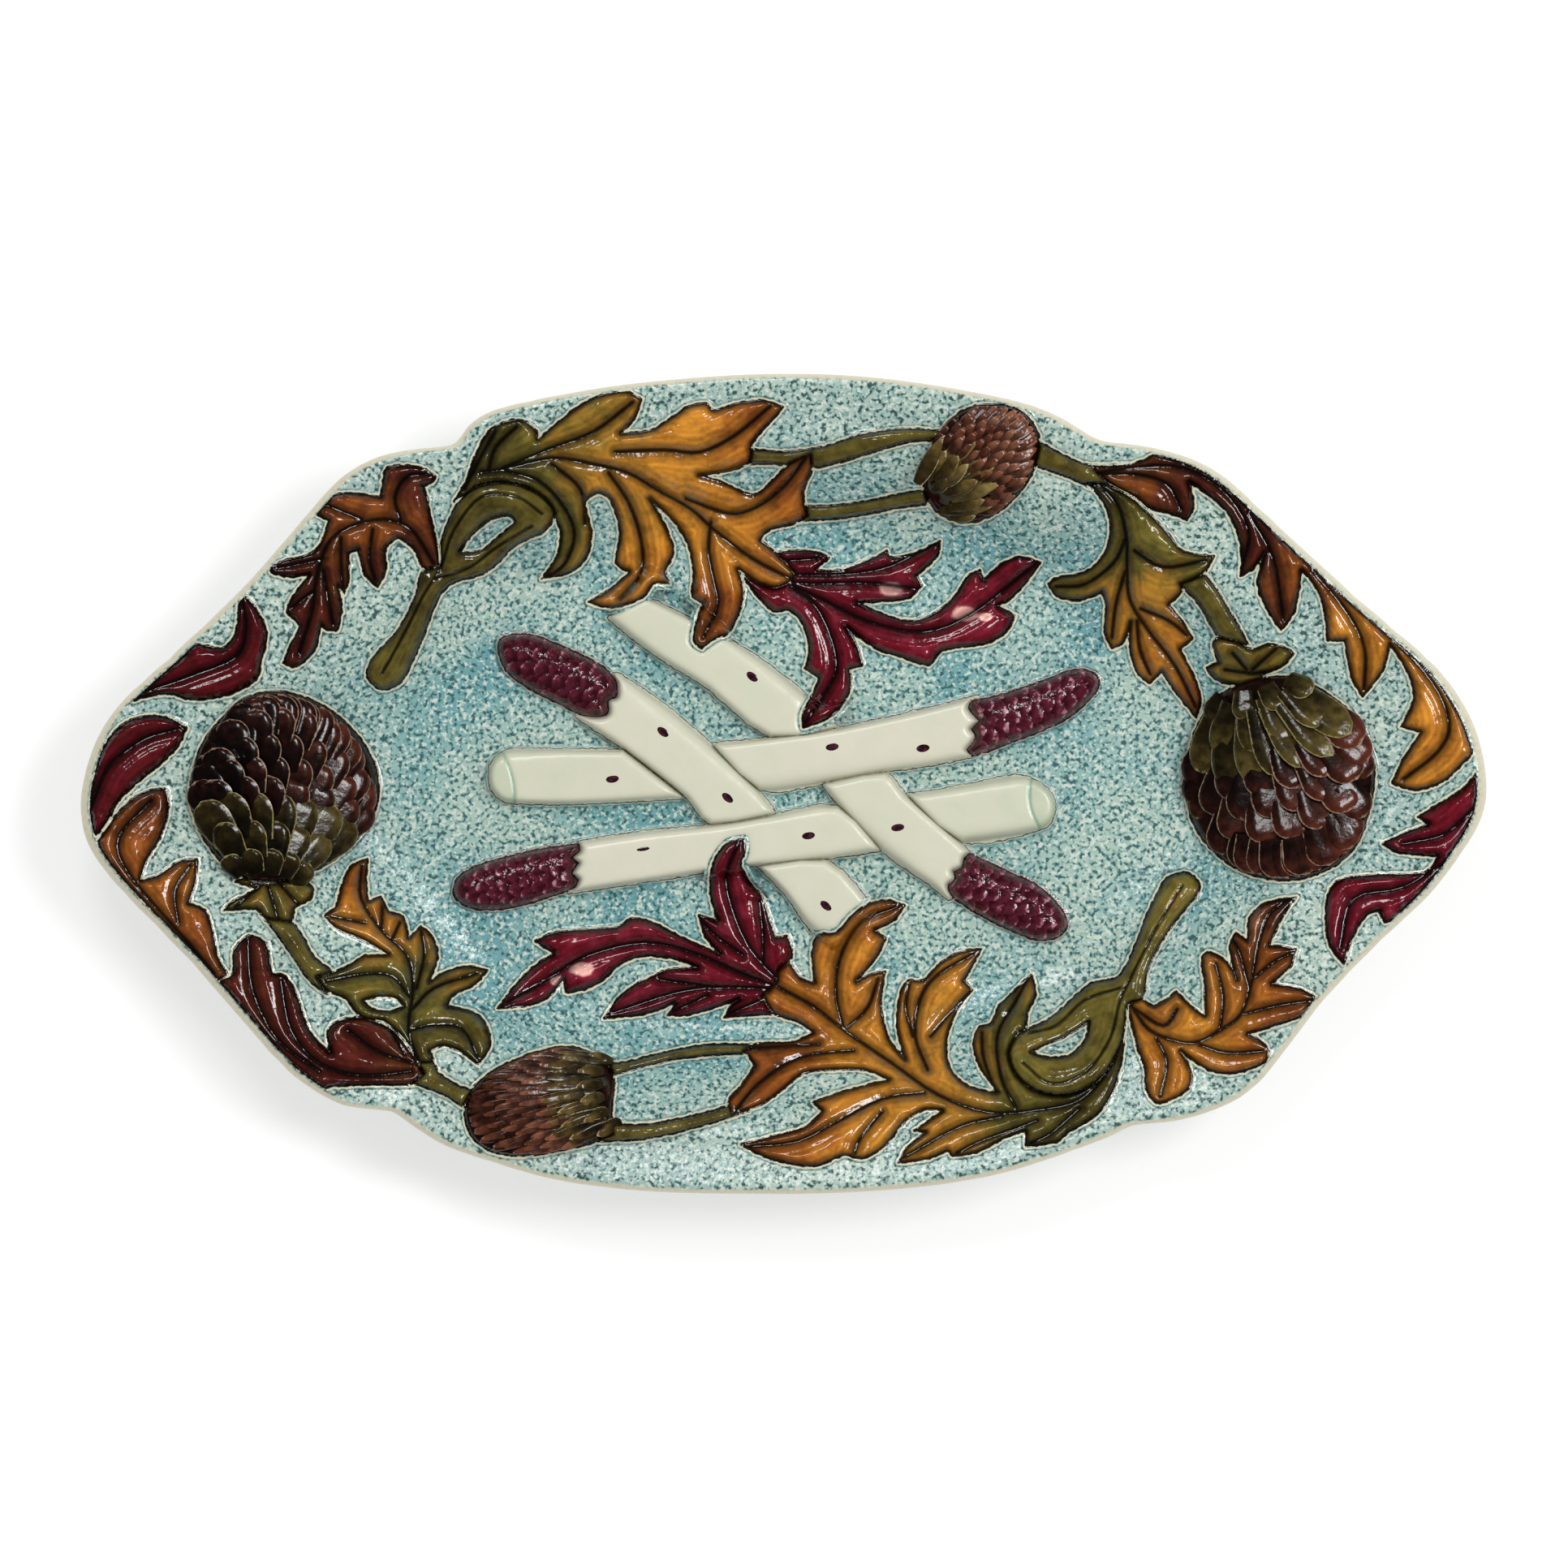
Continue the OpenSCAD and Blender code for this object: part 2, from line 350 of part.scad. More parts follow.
bud_bottom_shares = [
  [-0.456, -0.785], [-0.440, -0.735], [-0.405, -0.692], [-0.360, -0.660], [-0.315, -0.645],
  [-0.282, -0.654], [-0.250, -0.690], [-0.240, -0.730], [-0.250, -0.790], [-0.244, -0.855],
  [-0.290, -0.882], [-0.345, -0.902], [-0.395, -0.905], [-0.435, -0.882], [-0.452, -0.840]
];
stem_bud_bottom_shares = [
  [-0.512, -0.672], [-0.502, -0.672], [-0.492, -0.705], [-0.462, -0.738], [-0.430, -0.750],
  [-0.430, -0.800], [-0.450, -0.798], [-0.480, -0.762], [-0.520, -0.735], [-0.560, -0.728]
];
leaf_rim_left_shares = [
  [-0.805, -0.478], [-0.784, -0.462], [-0.783, -0.405], [-0.762, -0.368], [-0.738, -0.388],
  [-0.728, -0.462], [-0.711, -0.466], [-0.695, -0.510], [-0.676, -0.600], [-0.646, -0.656],
  [-0.650, -0.604], [-0.634, -0.578], [-0.600, -0.570], [-0.575, -0.585], [-0.556, -0.600],
  [-0.534, -0.650], [-0.512, -0.705], [-0.530, -0.733], [-0.590, -0.734], [-0.645, -0.738],
  [-0.685, -0.752], [-0.720, -0.800], [-0.860, -0.560]
];
leaf_olive_left_shares = [
  [-0.598, -0.184], [-0.620, -0.200], [-0.634, -0.250], [-0.640, -0.298], [-0.656, -0.322],
  [-0.640, -0.352], [-0.600, -0.382], [-0.566, -0.418], [-0.600, -0.420], [-0.628, -0.450],
  [-0.666, -0.470], [-0.655, -0.502], [-0.625, -0.525], [-0.604, -0.568], [-0.570, -0.580],
  [-0.540, -0.625], [-0.522, -0.680], [-0.498, -0.680], [-0.504, -0.652], [-0.486, -0.640],
  [-0.462, -0.652], [-0.436, -0.686], [-0.420, -0.645], [-0.424, -0.596], [-0.444, -0.560],
  [-0.482, -0.545], [-0.475, -0.520], [-0.442, -0.492], [-0.426, -0.458], [-0.456, -0.448],
  [-0.486, -0.462], [-0.508, -0.486], [-0.496, -0.425], [-0.504, -0.376], [-0.521, -0.350],
  [-0.538, -0.378], [-0.546, -0.326], [-0.566, -0.314], [-0.578, -0.276], [-0.596, -0.288],
  [-0.599, -0.235]
];
leaf_olive_left_window_shares = [
  [-0.600, -0.530], [-0.578, -0.520], [-0.552, -0.526], [-0.543, -0.545], [-0.565, -0.556],
  [-0.588, -0.548]
];
stem_artichoke_left_shares = [
  [-0.745, -0.320], [-0.710, -0.320], [-0.688, -0.366], [-0.668, -0.425], [-0.640, -0.460],
  [-0.650, -0.515], [-0.676, -0.480], [-0.700, -0.422], [-0.724, -0.362]
];
collar_left_shares = [
  [-0.735, -0.215], [-0.768, -0.225], [-0.782, -0.240], [-0.752, -0.256], [-0.790, -0.292],
  [-0.798, -0.310], [-0.752, -0.305], [-0.738, -0.328], [-0.700, -0.338], [-0.698, -0.305],
  [-0.678, -0.284], [-0.672, -0.258], [-0.684, -0.238], [-0.705, -0.215]
];
artichoke_left_shares = [
  [-0.725, 0.228], [-0.690, 0.216], [-0.655, 0.190], [-0.622, 0.142], [-0.598, 0.085],
  [-0.582, 0.020], [-0.584, -0.055], [-0.600, -0.108], [-0.628, -0.162], [-0.662, -0.205],
  [-0.700, -0.232], [-0.738, -0.242], [-0.775, -0.228], [-0.802, -0.190], [-0.824, -0.140],
  [-0.840, -0.085], [-0.848, -0.010], [-0.836, 0.050], [-0.830, 0.105], [-0.804, 0.145],
  [-0.785, 0.192], [-0.755, 0.222]
];
leaf_amber_left_shares = [
  [-0.882, -0.010], [-0.915, -0.022], [-0.944, -0.062], [-0.964, -0.108], [-0.975, -0.140],
  [-1.030, -0.150], [-0.980, -0.300], [-0.860, -0.560], [-0.805, -0.478], [-0.790, -0.470],
  [-0.806, -0.420], [-0.813, -0.360], [-0.824, -0.308], [-0.848, -0.292], [-0.838, -0.235],
  [-0.836, -0.184], [-0.862, -0.190], [-0.892, -0.225], [-0.916, -0.235], [-0.908, -0.188],
  [-0.888, -0.130], [-0.876, -0.055]
];
leaf_burgundy_left_upper_shares = [
  [-0.772, 0.468], [-0.752, 0.430], [-0.736, 0.370], [-0.745, 0.295], [-0.752, 0.255],
  [-0.790, 0.218], [-0.842, 0.205], [-0.880, 0.220], [-0.925, 0.204], [-0.955, 0.148],
  [-0.975, 0.095], [-0.990, 0.020], [-1.030, 0.020], [-1.000, 0.180], [-0.920, 0.310],
  [-0.866, 0.338], [-0.830, 0.340], [-0.798, 0.332], [-0.780, 0.372], [-0.776, 0.430]
];
leaf_burgundy_left_lower_shares = [
  [-0.850, 0.138], [-0.880, 0.164], [-0.915, 0.164], [-0.944, 0.142], [-0.970, 0.085],
  [-0.985, 0.020], [-1.030, 0.010], [-1.040, -0.120], [-0.978, -0.125], [-0.962, -0.092],
  [-0.950, -0.050], [-0.924, -0.002], [-0.890, 0.045], [-0.862, 0.092]
];

// Where the dish changes shape, as shares of the way from its middle to its rim
middle_share = 0.05;
foot_share = 0.50;
under_share = 0.56;
floor_share = 0.575;
wall_share = 0.88;
rim_share = 0.94;
lip_share = 0.985;
wall_steps = 5;
rim_steps = 2;
ring_shares = concat(
  [middle_share],
  [for (s = [0 : wall_steps]) floor_share + (wall_share - floor_share) * s / wall_steps],
  [rim_share, lip_share]
);

function in_mm(shares) = [for (s = shares) [s.x * half_l, s.y * half_w]];

// A smooth curve through four points, between the two in the middle
function curve_point(a, b, c, d, u) =
  b + u * (c - a) / 2 + u * u * (2 * a - 5 * b + 4 * c - d) / 2
  + u * u * u * (3 * b - a - 3 * c + d) / 2;
function curve_round(p, steps) = let (n = len(p)) [
  for (i = [0 : n - 1], s = [0 : steps - 1])
    curve_point(p[(i + n - 1) % n], p[i], p[(i + 1) % n], p[(i + 2) % n], s / steps)
];
rim = curve_round(in_mm(rim_shares), rim_steps);
sides = len(rim);

// The upper face: a flat floor, a wall in a soft S, and a rim that rises gently to the lip
function eased(u) = u * u * (3 - 2 * u);
function top_z(share) =
  share <= floor_share ? floor_z
  : share <= wall_share
    ? floor_z + (rim_z - floor_z) * eased((share - floor_share) / (wall_share - floor_share))
  : rim_z + rim_rise * (share - wall_share) / (lip_share - wall_share);

// How far out a point lies, as a share of the way to the rim
function sector_share(p, a, b) = let (
    area = a.x * b.y - a.y * b.x,
    u = (p.x * b.y - p.y * b.x) / area,
    v = (a.x * p.y - a.y * p.x) / area
  ) u >= 0 && v >= 0 ? u + v : 0;
function share_at(p) = max([for (c = [0 : sides - 1]) sector_share(p, rim[c], rim[(c + 1) % sides])]);
function ground_z(p) = top_z(share_at(p));

function mean_of(points) = [for (p = points) 1] * points / len(points);
function bearing_off(p, middle) = let (d = atan2(p.y, p.x) - middle) d > 180 ? d - 360
  : d < -180 ? d + 360 : d;
function column_past(middle, limit, side) = let (
    offs = [for (p = rim) side * bearing_off(p, middle)],
    past = min([for (o = offs) if (o >= limit) o])
  ) [for (c = [0 : sides - 1]) if (offs[c] == past) c][0];
function ring_below(share) = let (
    below = [for (r = [0 : len(ring_shares) - 1]) if (ring_shares[r] <= share) r]
  ) len(below) == 0 ? 0 : max(0, max(below) - 1);

// A layer that follows the dish's own facets over the ground round some points
module skin(points, low, high) {
  middle = atan2(mean_of(points).y, mean_of(points).x);
  offs = [for (p = points) bearing_off(p, middle)];
  first = column_past(middle, -min(offs), -1);
  last = column_past(middle, max(offs), 1);
  columns = (last - first + sides) % sides + 1;
  inner = ring_below(min([for (p = points) share_at(p)]));
  rings = len(ring_shares) - inner;
  size = columns * rings;
  vertices = [
    for (lift = [low, high], r = [0 : rings - 1], c = [0 : columns - 1])
      let (share = ring_shares[inner + r], at = rim[(first + c) % sides] * share)
        [at.x, at.y, top_z(share) + lift]
  ];
  caps = [
    for (r = [0 : rings - 2], c = [0 : columns - 2])
      let (a = r * columns + c, b = a + columns)
        each [
          [a, b, b + 1], [a, b + 1, a + 1],
          [size + a, size + a + 1, size + b + 1], [size + a, size + b + 1, size + b]
        ]
  ];
  inner_edge = [for (c = [0 : columns - 1]) c];
  outer_edge = [for (c = [columns - 1 : -1 : 0]) (rings - 1) * columns + c];
  right_edge = [for (r = [rings - 1 : -1 : 0]) r * columns];
  left_edge = [for (r = [0 : rings - 1]) r * columns + columns - 1];
  walls = [
    for (edge = [inner_edge, left_edge, outer_edge, right_edge], k = [0 : len(edge) - 2])
      each [
        [edge[k], edge[k + 1], size + edge[k + 1]],
        [edge[k], size + edge[k + 1], size + edge[k]]
      ]
  ];
  polyhedron(vertices, concat(caps, walls));
}

module plan(shares) {
  polygon(in_mm(shares));
}

// A moulded piece of one height over the dish, cut to the outline that it is given
module relief(shares, height) {
  intersection() {
    linear_extrude(height = 2 * overrun) children();
    skin(in_mm(shares), 0, height);
  }
}

module dish_body() {
  under_shares = [lip_share, wall_share, (wall_share + floor_share) / 2];
  loop = concat(
    [for (s = ring_shares) if (s > middle_share) [s, top_z(s)]],
    [[1, dish_h - wall / 2]],
    [for (s = under_shares) [s, top_z(s) - wall]],
    [[under_share, foot_h]]
  );
  count = len(loop);
  vertices = concat(
    [for (l = loop, p = rim) [p.x * l[0], p.y * l[0], l[1]]],
    [[0, 0, floor_z], [0, 0, foot_h]]
  );
  top_middle = count * sides;
  faces = concat(
    [
      for (k = [0 : count - 2], c = [0 : sides - 1])
        let (a = k * sides + c, a_next = k * sides + (c + 1) % sides)
          each [
            [a, a_next, a_next + sides],
            [a, a_next + sides, a + sides]
          ]
    ],
    [for (c = [0 : sides - 1]) [top_middle, (c + 1) % sides, c]],
    [
      for (c = [0 : sides - 1])
        [top_middle + 1, (count - 1) * sides + c, (count - 1) * sides + (c + 1) % sides]
    ]
  );
  color("lightseagreen") polyhedron(vertices, faces);
}

module foot_ring() {
  outer = [for (p = rim) p * foot_share];
  inner = [for (p = outer) p * (1 - foot_w / norm(p))];
  color("antiquewhite") linear_extrude(height = foot_h) difference() {
    polygon(outer);
    polygon(inner);
  }
}

// A spear lies on the flat floor. Its top is rounded off in steps; a part that lies over it
// is given as a child and cut out of it.
spear_step_shares = [[0, 0, 0.60], [0.45, 0.60, 0.86], [1.25, 0.86, 1]];
module spear(shares) {
  for (step = spear_step_shares)
    translate([0, 0, floor_z + step[1] * spear_h])
      linear_extrude(height = (step[2] - step[1]) * spear_h)
        difference() {
          offset(delta = -step[0] * spear_round) plan(shares);
          children();
        }
}

module spear_top_left() {
  color("beige") spear(spear_top_left_shares) {
    plan(tip_top_left_shares);
    plan(spear_bottom_left_shares);
    plan(leaf_acanthus_bottom_shares);
    plan(leaf_burgundy_bottom_shares);
  }
}

module spear_bottom_right() {
  color("beige") spear(spear_bottom_right_shares) {
    plan(tip_bottom_right_shares);
    plan(spear_top_right_shares);
    plan(leaf_acanthus_top_shares);
    plan(leaf_burgundy_top_shares);
  }
}

module spear_top_right() {
  color("beige") spear(spear_top_right_shares) {
    plan(tip_top_right_shares);
    plan(spear_top_left_shares);
    plan(leaf_burgundy_top_shares);
  }
}

module spear_bottom_left() {
  color("beige") spear(spear_bottom_left_shares) {
    plan(tip_bottom_left_shares);
    plan(spear_bottom_right_shares);
    plan(leaf_burgundy_bottom_shares);
  }
}

module tip_top_left() {
  color("purple") spear(tip_top_left_shares);
}

module tip_bottom_right() {
  color("purple") spear(tip_bottom_right_shares);
}

module tip_top_right() {
  color("purple") spear(tip_top_right_shares);
}

module tip_bottom_left() {
  color("purple") spear(tip_bottom_left_shares);
}

module spear_marks() {
  color("indigo") for (p = in_mm(mark_place_shares))
    translate([p.x, p.y, floor_z + spear_h]) cylinder(d = mark_l, h = mark_h, $fn = 16);
}

// A head of overlapping bracts. It grows from its stem end along its axis, and each row of
// bracts fans out round the stem end, over a domed core of stepped slices.
core_step_shares = [[1.2, 0.45], [0.86, 0.70], [0.66, 0.88]];
bract_skew = 52;
module head_core(shares, height) {
  middle = mean_of(in_mm(shares));
  for (step = core_step_shares) intersection() {
    linear_extrude(height = 2 * overrun)
      polygon([for (p = in_mm(shares)) middle + (p - middle) * step[0]]);
    skin(in_mm(shares), -foot_h / 2, step[1] * height);
  }
}

// What is left of a head's pieces inside the head's outline, from a level above the dish
module head_space(shares, low, height) {
  intersection() {
    linear_extrude(height = 2 * overrun) plan(shares);
    skin(in_mm(shares), low, 2 * height);
    union() children();
  }
}

function head_rise(p, middle, reach, height) = let (d = min(1, norm(p - middle) / reach))
  ground_z(p) + height * sqrt(1 - d * d);

// rows holds, for each row, its share of the way to the far edge, the spread of its fan in
// degrees and how many bracts it has. A bract reaches deep below its own thickness, and the
// spare makes room above it when it is cut out.
module bracts(stem_share, crown_share, height, rows, bract_w, deep = 0, spare = 0) {
  stem = [stem_share.x * half_l, stem_share.y * half_w];
  crown = [crown_share.x * half_l, crown_share.y * half_w];
  middle = (stem + crown) / 2;
  reach = norm(crown - stem) / 2;
  heading = atan2(crown.y - stem.y, crown.x - stem.x);
  for (row = rows, k = [0 : row[2] - 1]) {
    fan = row[1] * (2 * k / (row[2] - 1) - 1);
    along = [cos(heading + fan), sin(heading + fan)];
    tip = stem + along * 2 * reach * cos(fan) * row[0];
    root = tip - along * bract_w;
    hull() {
      translate([tip.x, tip.y, head_rise(tip, middle, reach, height) - bract_t / 2 - deep])
        rotate(heading + fan + bract_skew)
          cylinder(d = bract_w / 2, h = deep + bract_t + spare, $fn = 6);
      translate([root.x, root.y, head_rise(root, middle, reach, height) - bract_t - deep])
        rotate(heading + fan + bract_skew) cylinder(d = bract_w, h = deep + bract_t + spare, $fn = 6);
    }
  }
}

// A head without the room of its sepals, and the sepals over it. They start half a bract's
// thickness above the dish, so that the head is whole under them.
module head(shares, ends, height, rows, sepal_rows, bract_w) {
  difference() {
    head_space(shares, 0, height) {
      head_core(shares, height);
      bracts(ends[0], ends[1], height, rows, bract_w, deep = dish_h);
    }
    intersection() {
      skin(in_mm(shares), bract_t / 2, 3 * height);
      bracts(ends[0], ends[1], height + bract_t, sepal_rows, bract_w, spare = height);
    }
  }
}

module sepals(shares, ends, height, sepal_rows, bract_w) {
  head_space(shares, bract_t / 2, height)
    bracts(ends[0], ends[1], height + bract_t, sepal_rows, bract_w);
}

artichoke_row_shares = [[0.58, 58, 6], [0.74, 52, 7], [0.90, 48, 8], [0.98, 40, 7]];
artichoke_sepal_row_shares = [[0.28, 52, 4], [0.42, 48, 6]];
bud_row_shares = [[0.62, 46, 5], [0.80, 42, 6], [0.96, 36, 6]];
bud_sepal_row_shares = [[0.28, 40, 3], [0.42, 38, 4]];
// Each head's stem end and crown
artichoke_left_end_shares = [[-0.735, -0.235], [-0.700, 0.215]];
artichoke_right_end_shares = [[0.670, 0.250], [0.745, -0.228]];
bud_top_end_shares = [[0.215, 0.700], [0.350, 0.880]];
bud_bottom_end_shares = [[-0.248, -0.770], [-0.450, -0.800]];

module artichoke_left() {
  color("saddlebrown") head(
    artichoke_left_shares, artichoke_left_end_shares, artichoke_h,
    artichoke_row_shares, artichoke_sepal_row_shares, artichoke_bract_w
  );
}

module artichoke_left_sepals() {
  color("olive") sepals(
    artichoke_left_shares, artichoke_left_end_shares, artichoke_h,
    artichoke_sepal_row_shares, artichoke_bract_w
  );
}

module artichoke_right() {
  color("saddlebrown") head(
    artichoke_right_shares, artichoke_right_end_shares, artichoke_h,
    artichoke_row_shares, artichoke_sepal_row_shares, artichoke_bract_w
  );
}

module artichoke_right_sepals() {
  color("olive") sepals(
    artichoke_right_shares, artichoke_right_end_shares, artichoke_h,
    artichoke_sepal_row_shares, artichoke_bract_w
  );
}

module bud_top() {
  color("sienna") head(
    bud_top_shares, bud_top_end_shares, bud_h,
    bud_row_shares, bud_sepal_row_shares, bud_bract_w
  );
}

module bud_top_sepals() {
  color("olive") sepals(
    bud_top_shares, bud_top_end_shares, bud_h, bud_sepal_row_shares, bud_bract_w
  );
}

module bud_bottom() {
  color("sienna") head(
    bud_bottom_shares, bud_bottom_end_shares, bud_h,
    bud_row_shares, bud_sepal_row_shares, bud_bract_w
  );
}

module bud_bottom_sepals() {
  color("olive") sepals(
    bud_bottom_shares, bud_bottom_end_shares, bud_h, bud_sepal_row_shares, bud_bract_w
  );
}

module collar_left() {
  color("olivedrab") relief(collar_left_shares, leaf_h) difference() {
    plan(collar_left_shares);
    plan(artichoke_left_shares);
  }
}

module collar_right() {
  color("olivedrab") relief(collar_right_shares, leaf_h) difference() {
    plan(collar_right_shares);
    plan(artichoke_right_shares);
  }
}

module stem_cut_left() {
  color("darkolivegreen") relief(stem_cut_left_shares, stem_h) difference() {
    plan(stem_cut_left_shares);
    plan(stem_cut_left_window_shares);
  }
}

module stem_cut_right() {
  color("darkolivegreen") relief(stem_cut_right_shares, stem_h) difference() {
    plan(stem_cut_right_shares);
    plan(stem_cut_right_window_shares);
  }
}

module stem_pair_top() {
  points = concat(stem_pair_top_shares, stem_pair_top_lower_shares);
  color("darkolivegreen") relief(points, stem_h) difference() {
    union() {
      plan(stem_pair_top_shares);
      plan(stem_pair_top_lower_shares);
    }
    plan(leaf_acanthus_top_shares);
    plan(bud_top_shares);
  }
}

module stem_pair_bottom() {
  points = concat(stem_pair_bottom_shares, stem_pair_bottom_lower_shares);
  color("darkolivegreen") relief(points, stem_h) difference() {
    union() {
      plan(stem_pair_bottom_shares);
      plan(stem_pair_bottom_lower_shares);
    }
    plan(leaf_acanthus_bottom_shares);
    plan(bud_bottom_shares);
  }
}

module stem_bud_top() {
  color("darkolivegreen") relief(stem_bud_top_shares, stem_h) difference() {
    plan(stem_bud_top_shares);
    plan(bud_top_shares);
    plan(leaf_rim_right_shares);
    plan(leaf_olive_right_shares);
  }
}

module stem_bud_bottom() {
  color("darkolivegreen") relief(stem_bud_bottom_shares, stem_h) difference() {
    plan(stem_bud_bottom_shares);
    plan(bud_bottom_shares);
    plan(leaf_rim_left_shares);
    plan(leaf_olive_left_shares);
  }
}

module stem_artichoke_left() {
  color("darkolivegreen") relief(stem_artichoke_left_shares, stem_h) difference() {
    plan(stem_artichoke_left_shares);
    plan(collar_left_shares);
    plan(leaf_olive_left_shares);
  }
}

module stem_artichoke_right() {
  color("darkolivegreen") relief(stem_artichoke_right_shares, stem_h) difference() {
    plan(stem_artichoke_right_shares);
    plan(collar_right_shares);
    plan(leaf_olive_right_shares);
  }
}

module leaf_brown_top_left() {
  color("sienna") relief(leaf_brown_top_left_shares, leaf_h) difference() {
    plan(leaf_brown_top_left_shares);
    plan(stem_cut_left_shares);
  }
}

// Where a leaf's tip lies over a spear, it is as high as the spear and its own height
module over_spear(shares) {
  translate([0, 0, floor_z]) linear_extrude(height = spear_h + leaf_h) intersection() {
    plan(shares);
    children();
  }
}

// A groove along a line, which narrows to a point at the line's last point
module groove(line) {
  last = len(line) - 1;
  aside = [
    for (k = [0 : last - 1])
      let (d = line[k + 1] - line[max(0, k - 1)]) groove_w / 2 * [d.y, -d.x] / norm(d)
  ];
  polygon(concat(
    [for (k = [0 : last - 1]) line[k] + aside[k]],
    [line[last]],
    [for (k = [last - 1 : -1 : 0]) line[k] - aside[k]]
  ));
}

// A leaf's lobes inside its low edge, parted by grooves along its veins
module lobes(vein_shares) {
  difference() {
    offset(delta = -leaf_edge) children();
    for (vein = vein_shares) groove(in_mm(vein));
  }
}

// A leaf with a low edge and grooves, which are both as deep as the groove share of its height
module veined_leaf(shares, vein_shares) {
  relief(shares, leaf_h * (1 - groove_share)) children();
  relief(shares, leaf_h) lobes(vein_shares) children();
}

module leaf_acanthus_top() {
  color("peru") union() {
    veined_leaf(leaf_acanthus_top_shares, leaf_acanthus_top_vein_shares) difference() {
      plan(leaf_acanthus_top_shares);
      plan(stem_cut_left_shares);
    }
    over_spear(leaf_acanthus_top_shares) plan(spear_bottom_right_shares);
  }
}

module leaf_burgundy_top() {
  color("maroon") union() {
    relief(leaf_burgundy_top_shares, leaf_h) difference() {
      plan(leaf_burgundy_top_shares);
      plan(leaf_acanthus_top_shares);
    }
    over_spear(leaf_burgundy_top_shares) plan(spear_top_right_shares);
    over_spear(leaf_burgundy_top_shares) plan(spear_bottom_right_shares);
  }
}

module leaf_rim_right() {
  color("brown") relief(leaf_rim_right_shares, leaf_h) difference() {
    plan(leaf_rim_right_shares);
    plan(leaf_olive_right_shares);
  }
}

module leaf_olive_right() {
  color("olive") relief(leaf_olive_right_shares, leaf_h) plan(leaf_olive_right_shares);
}

module leaf_burgundy_right() {
  color("maroon") relief(leaf_burgundy_right_shares, leaf_h) plan(leaf_burgundy_right_shares);
}

module leaf_amber_right() {
  color("peru") relief(leaf_amber_right_shares, leaf_h) difference() {
    plan(leaf_amber_right_shares);
    plan(stem_cut_right_shares);
  }
}

module leaf_acanthus_bottom() {
  color("peru") union() {
    veined_leaf(leaf_acanthus_bottom_shares, leaf_acanthus_bottom_vein_shares) difference() {
      plan(leaf_acanthus_bottom_shares);
      plan(stem_cut_right_shares);
    }
    over_spear(leaf_acanthus_bottom_shares) plan(spear_top_left_shares);
  }
}

module leaf_burgundy_bottom() {
  color("maroon") union() {
    relief(leaf_burgundy_bottom_shares, leaf_h) difference() {
      plan(leaf_burgundy_bottom_shares);
      plan(leaf_acanthus_bottom_shares);
    }
    over_spear(leaf_burgundy_bottom_shares) plan(spear_top_left_shares);
    over_spear(leaf_burgundy_bottom_shares) plan(spear_bottom_left_shares);
  }
}

module leaf_rim_left() {
  color("brown") relief(leaf_rim_left_shares, leaf_h) difference() {
    plan(leaf_rim_left_shares);
    plan(leaf_olive_left_shares);
  }
}

module leaf_olive_left() {
  color("olive") relief(leaf_olive_left_shares, leaf_h) difference() {
    plan(leaf_olive_left_shares);
    plan(leaf_olive_left_window_shares);
  }
}

module leaf_amber_left() {
  color("peru") relief(leaf_amber_left_shares, leaf_h) difference() {
    plan(leaf_amber_left_shares);
    plan(leaf_rim_left_shares);
    plan(leaf_burgundy_left_lower_shares);
  }
}

module leaf_burgundy_left_upper() {
  color("maroon") relief(leaf_burgundy_left_upper_shares, leaf_h)
    plan(leaf_burgundy_left_upper_shares);
}

module leaf_burgundy_left_lower() {
  color("maroon") relief(leaf_burgundy_left_lower_shares, leaf_h) difference() {
    plan(leaf_burgundy_left_lower_shares);
    plan(leaf_burgundy_left_upper_shares);
  }
}

dish_body();
foot_ring();
spear_top_left();
spear_bottom_right();
spear_top_right();
spear_bottom_left();
tip_top_left();
tip_bottom_right();
tip_top_right();
tip_bottom_left();
spear_marks();
artichoke_left();
artichoke_left_sepals();
artichoke_right();
artichoke_right_sepals();
collar_left();
collar_right();
bud_top();
bud_top_sepals();
bud_bottom();
bud_bottom_sepals();
stem_cut_left();
stem_cut_right();
stem_pair_top();
stem_pair_bottom();
stem_bud_top();
stem_bud_bottom();
stem_artichoke_left();
stem_artichoke_right();
leaf_brown_top_left();
leaf_acanthus_top();
leaf_burgundy_top();
leaf_rim_right();
leaf_olive_right();
leaf_burgundy_right();
leaf_amber_right();
leaf_acanthus_bottom();
leaf_burgundy_bottom();
leaf_rim_left();
leaf_olive_left();
leaf_amber_left();
leaf_burgundy_left_upper();
leaf_burgundy_left_lower();
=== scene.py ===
# Moulded asparagus dish in glazed earthenware, seen from straight above on a white table.
# All lengths below are in millimetres until a mesh is written; then they are in metres.
import math

import bpy
import numpy as np
from mathutils import Matrix


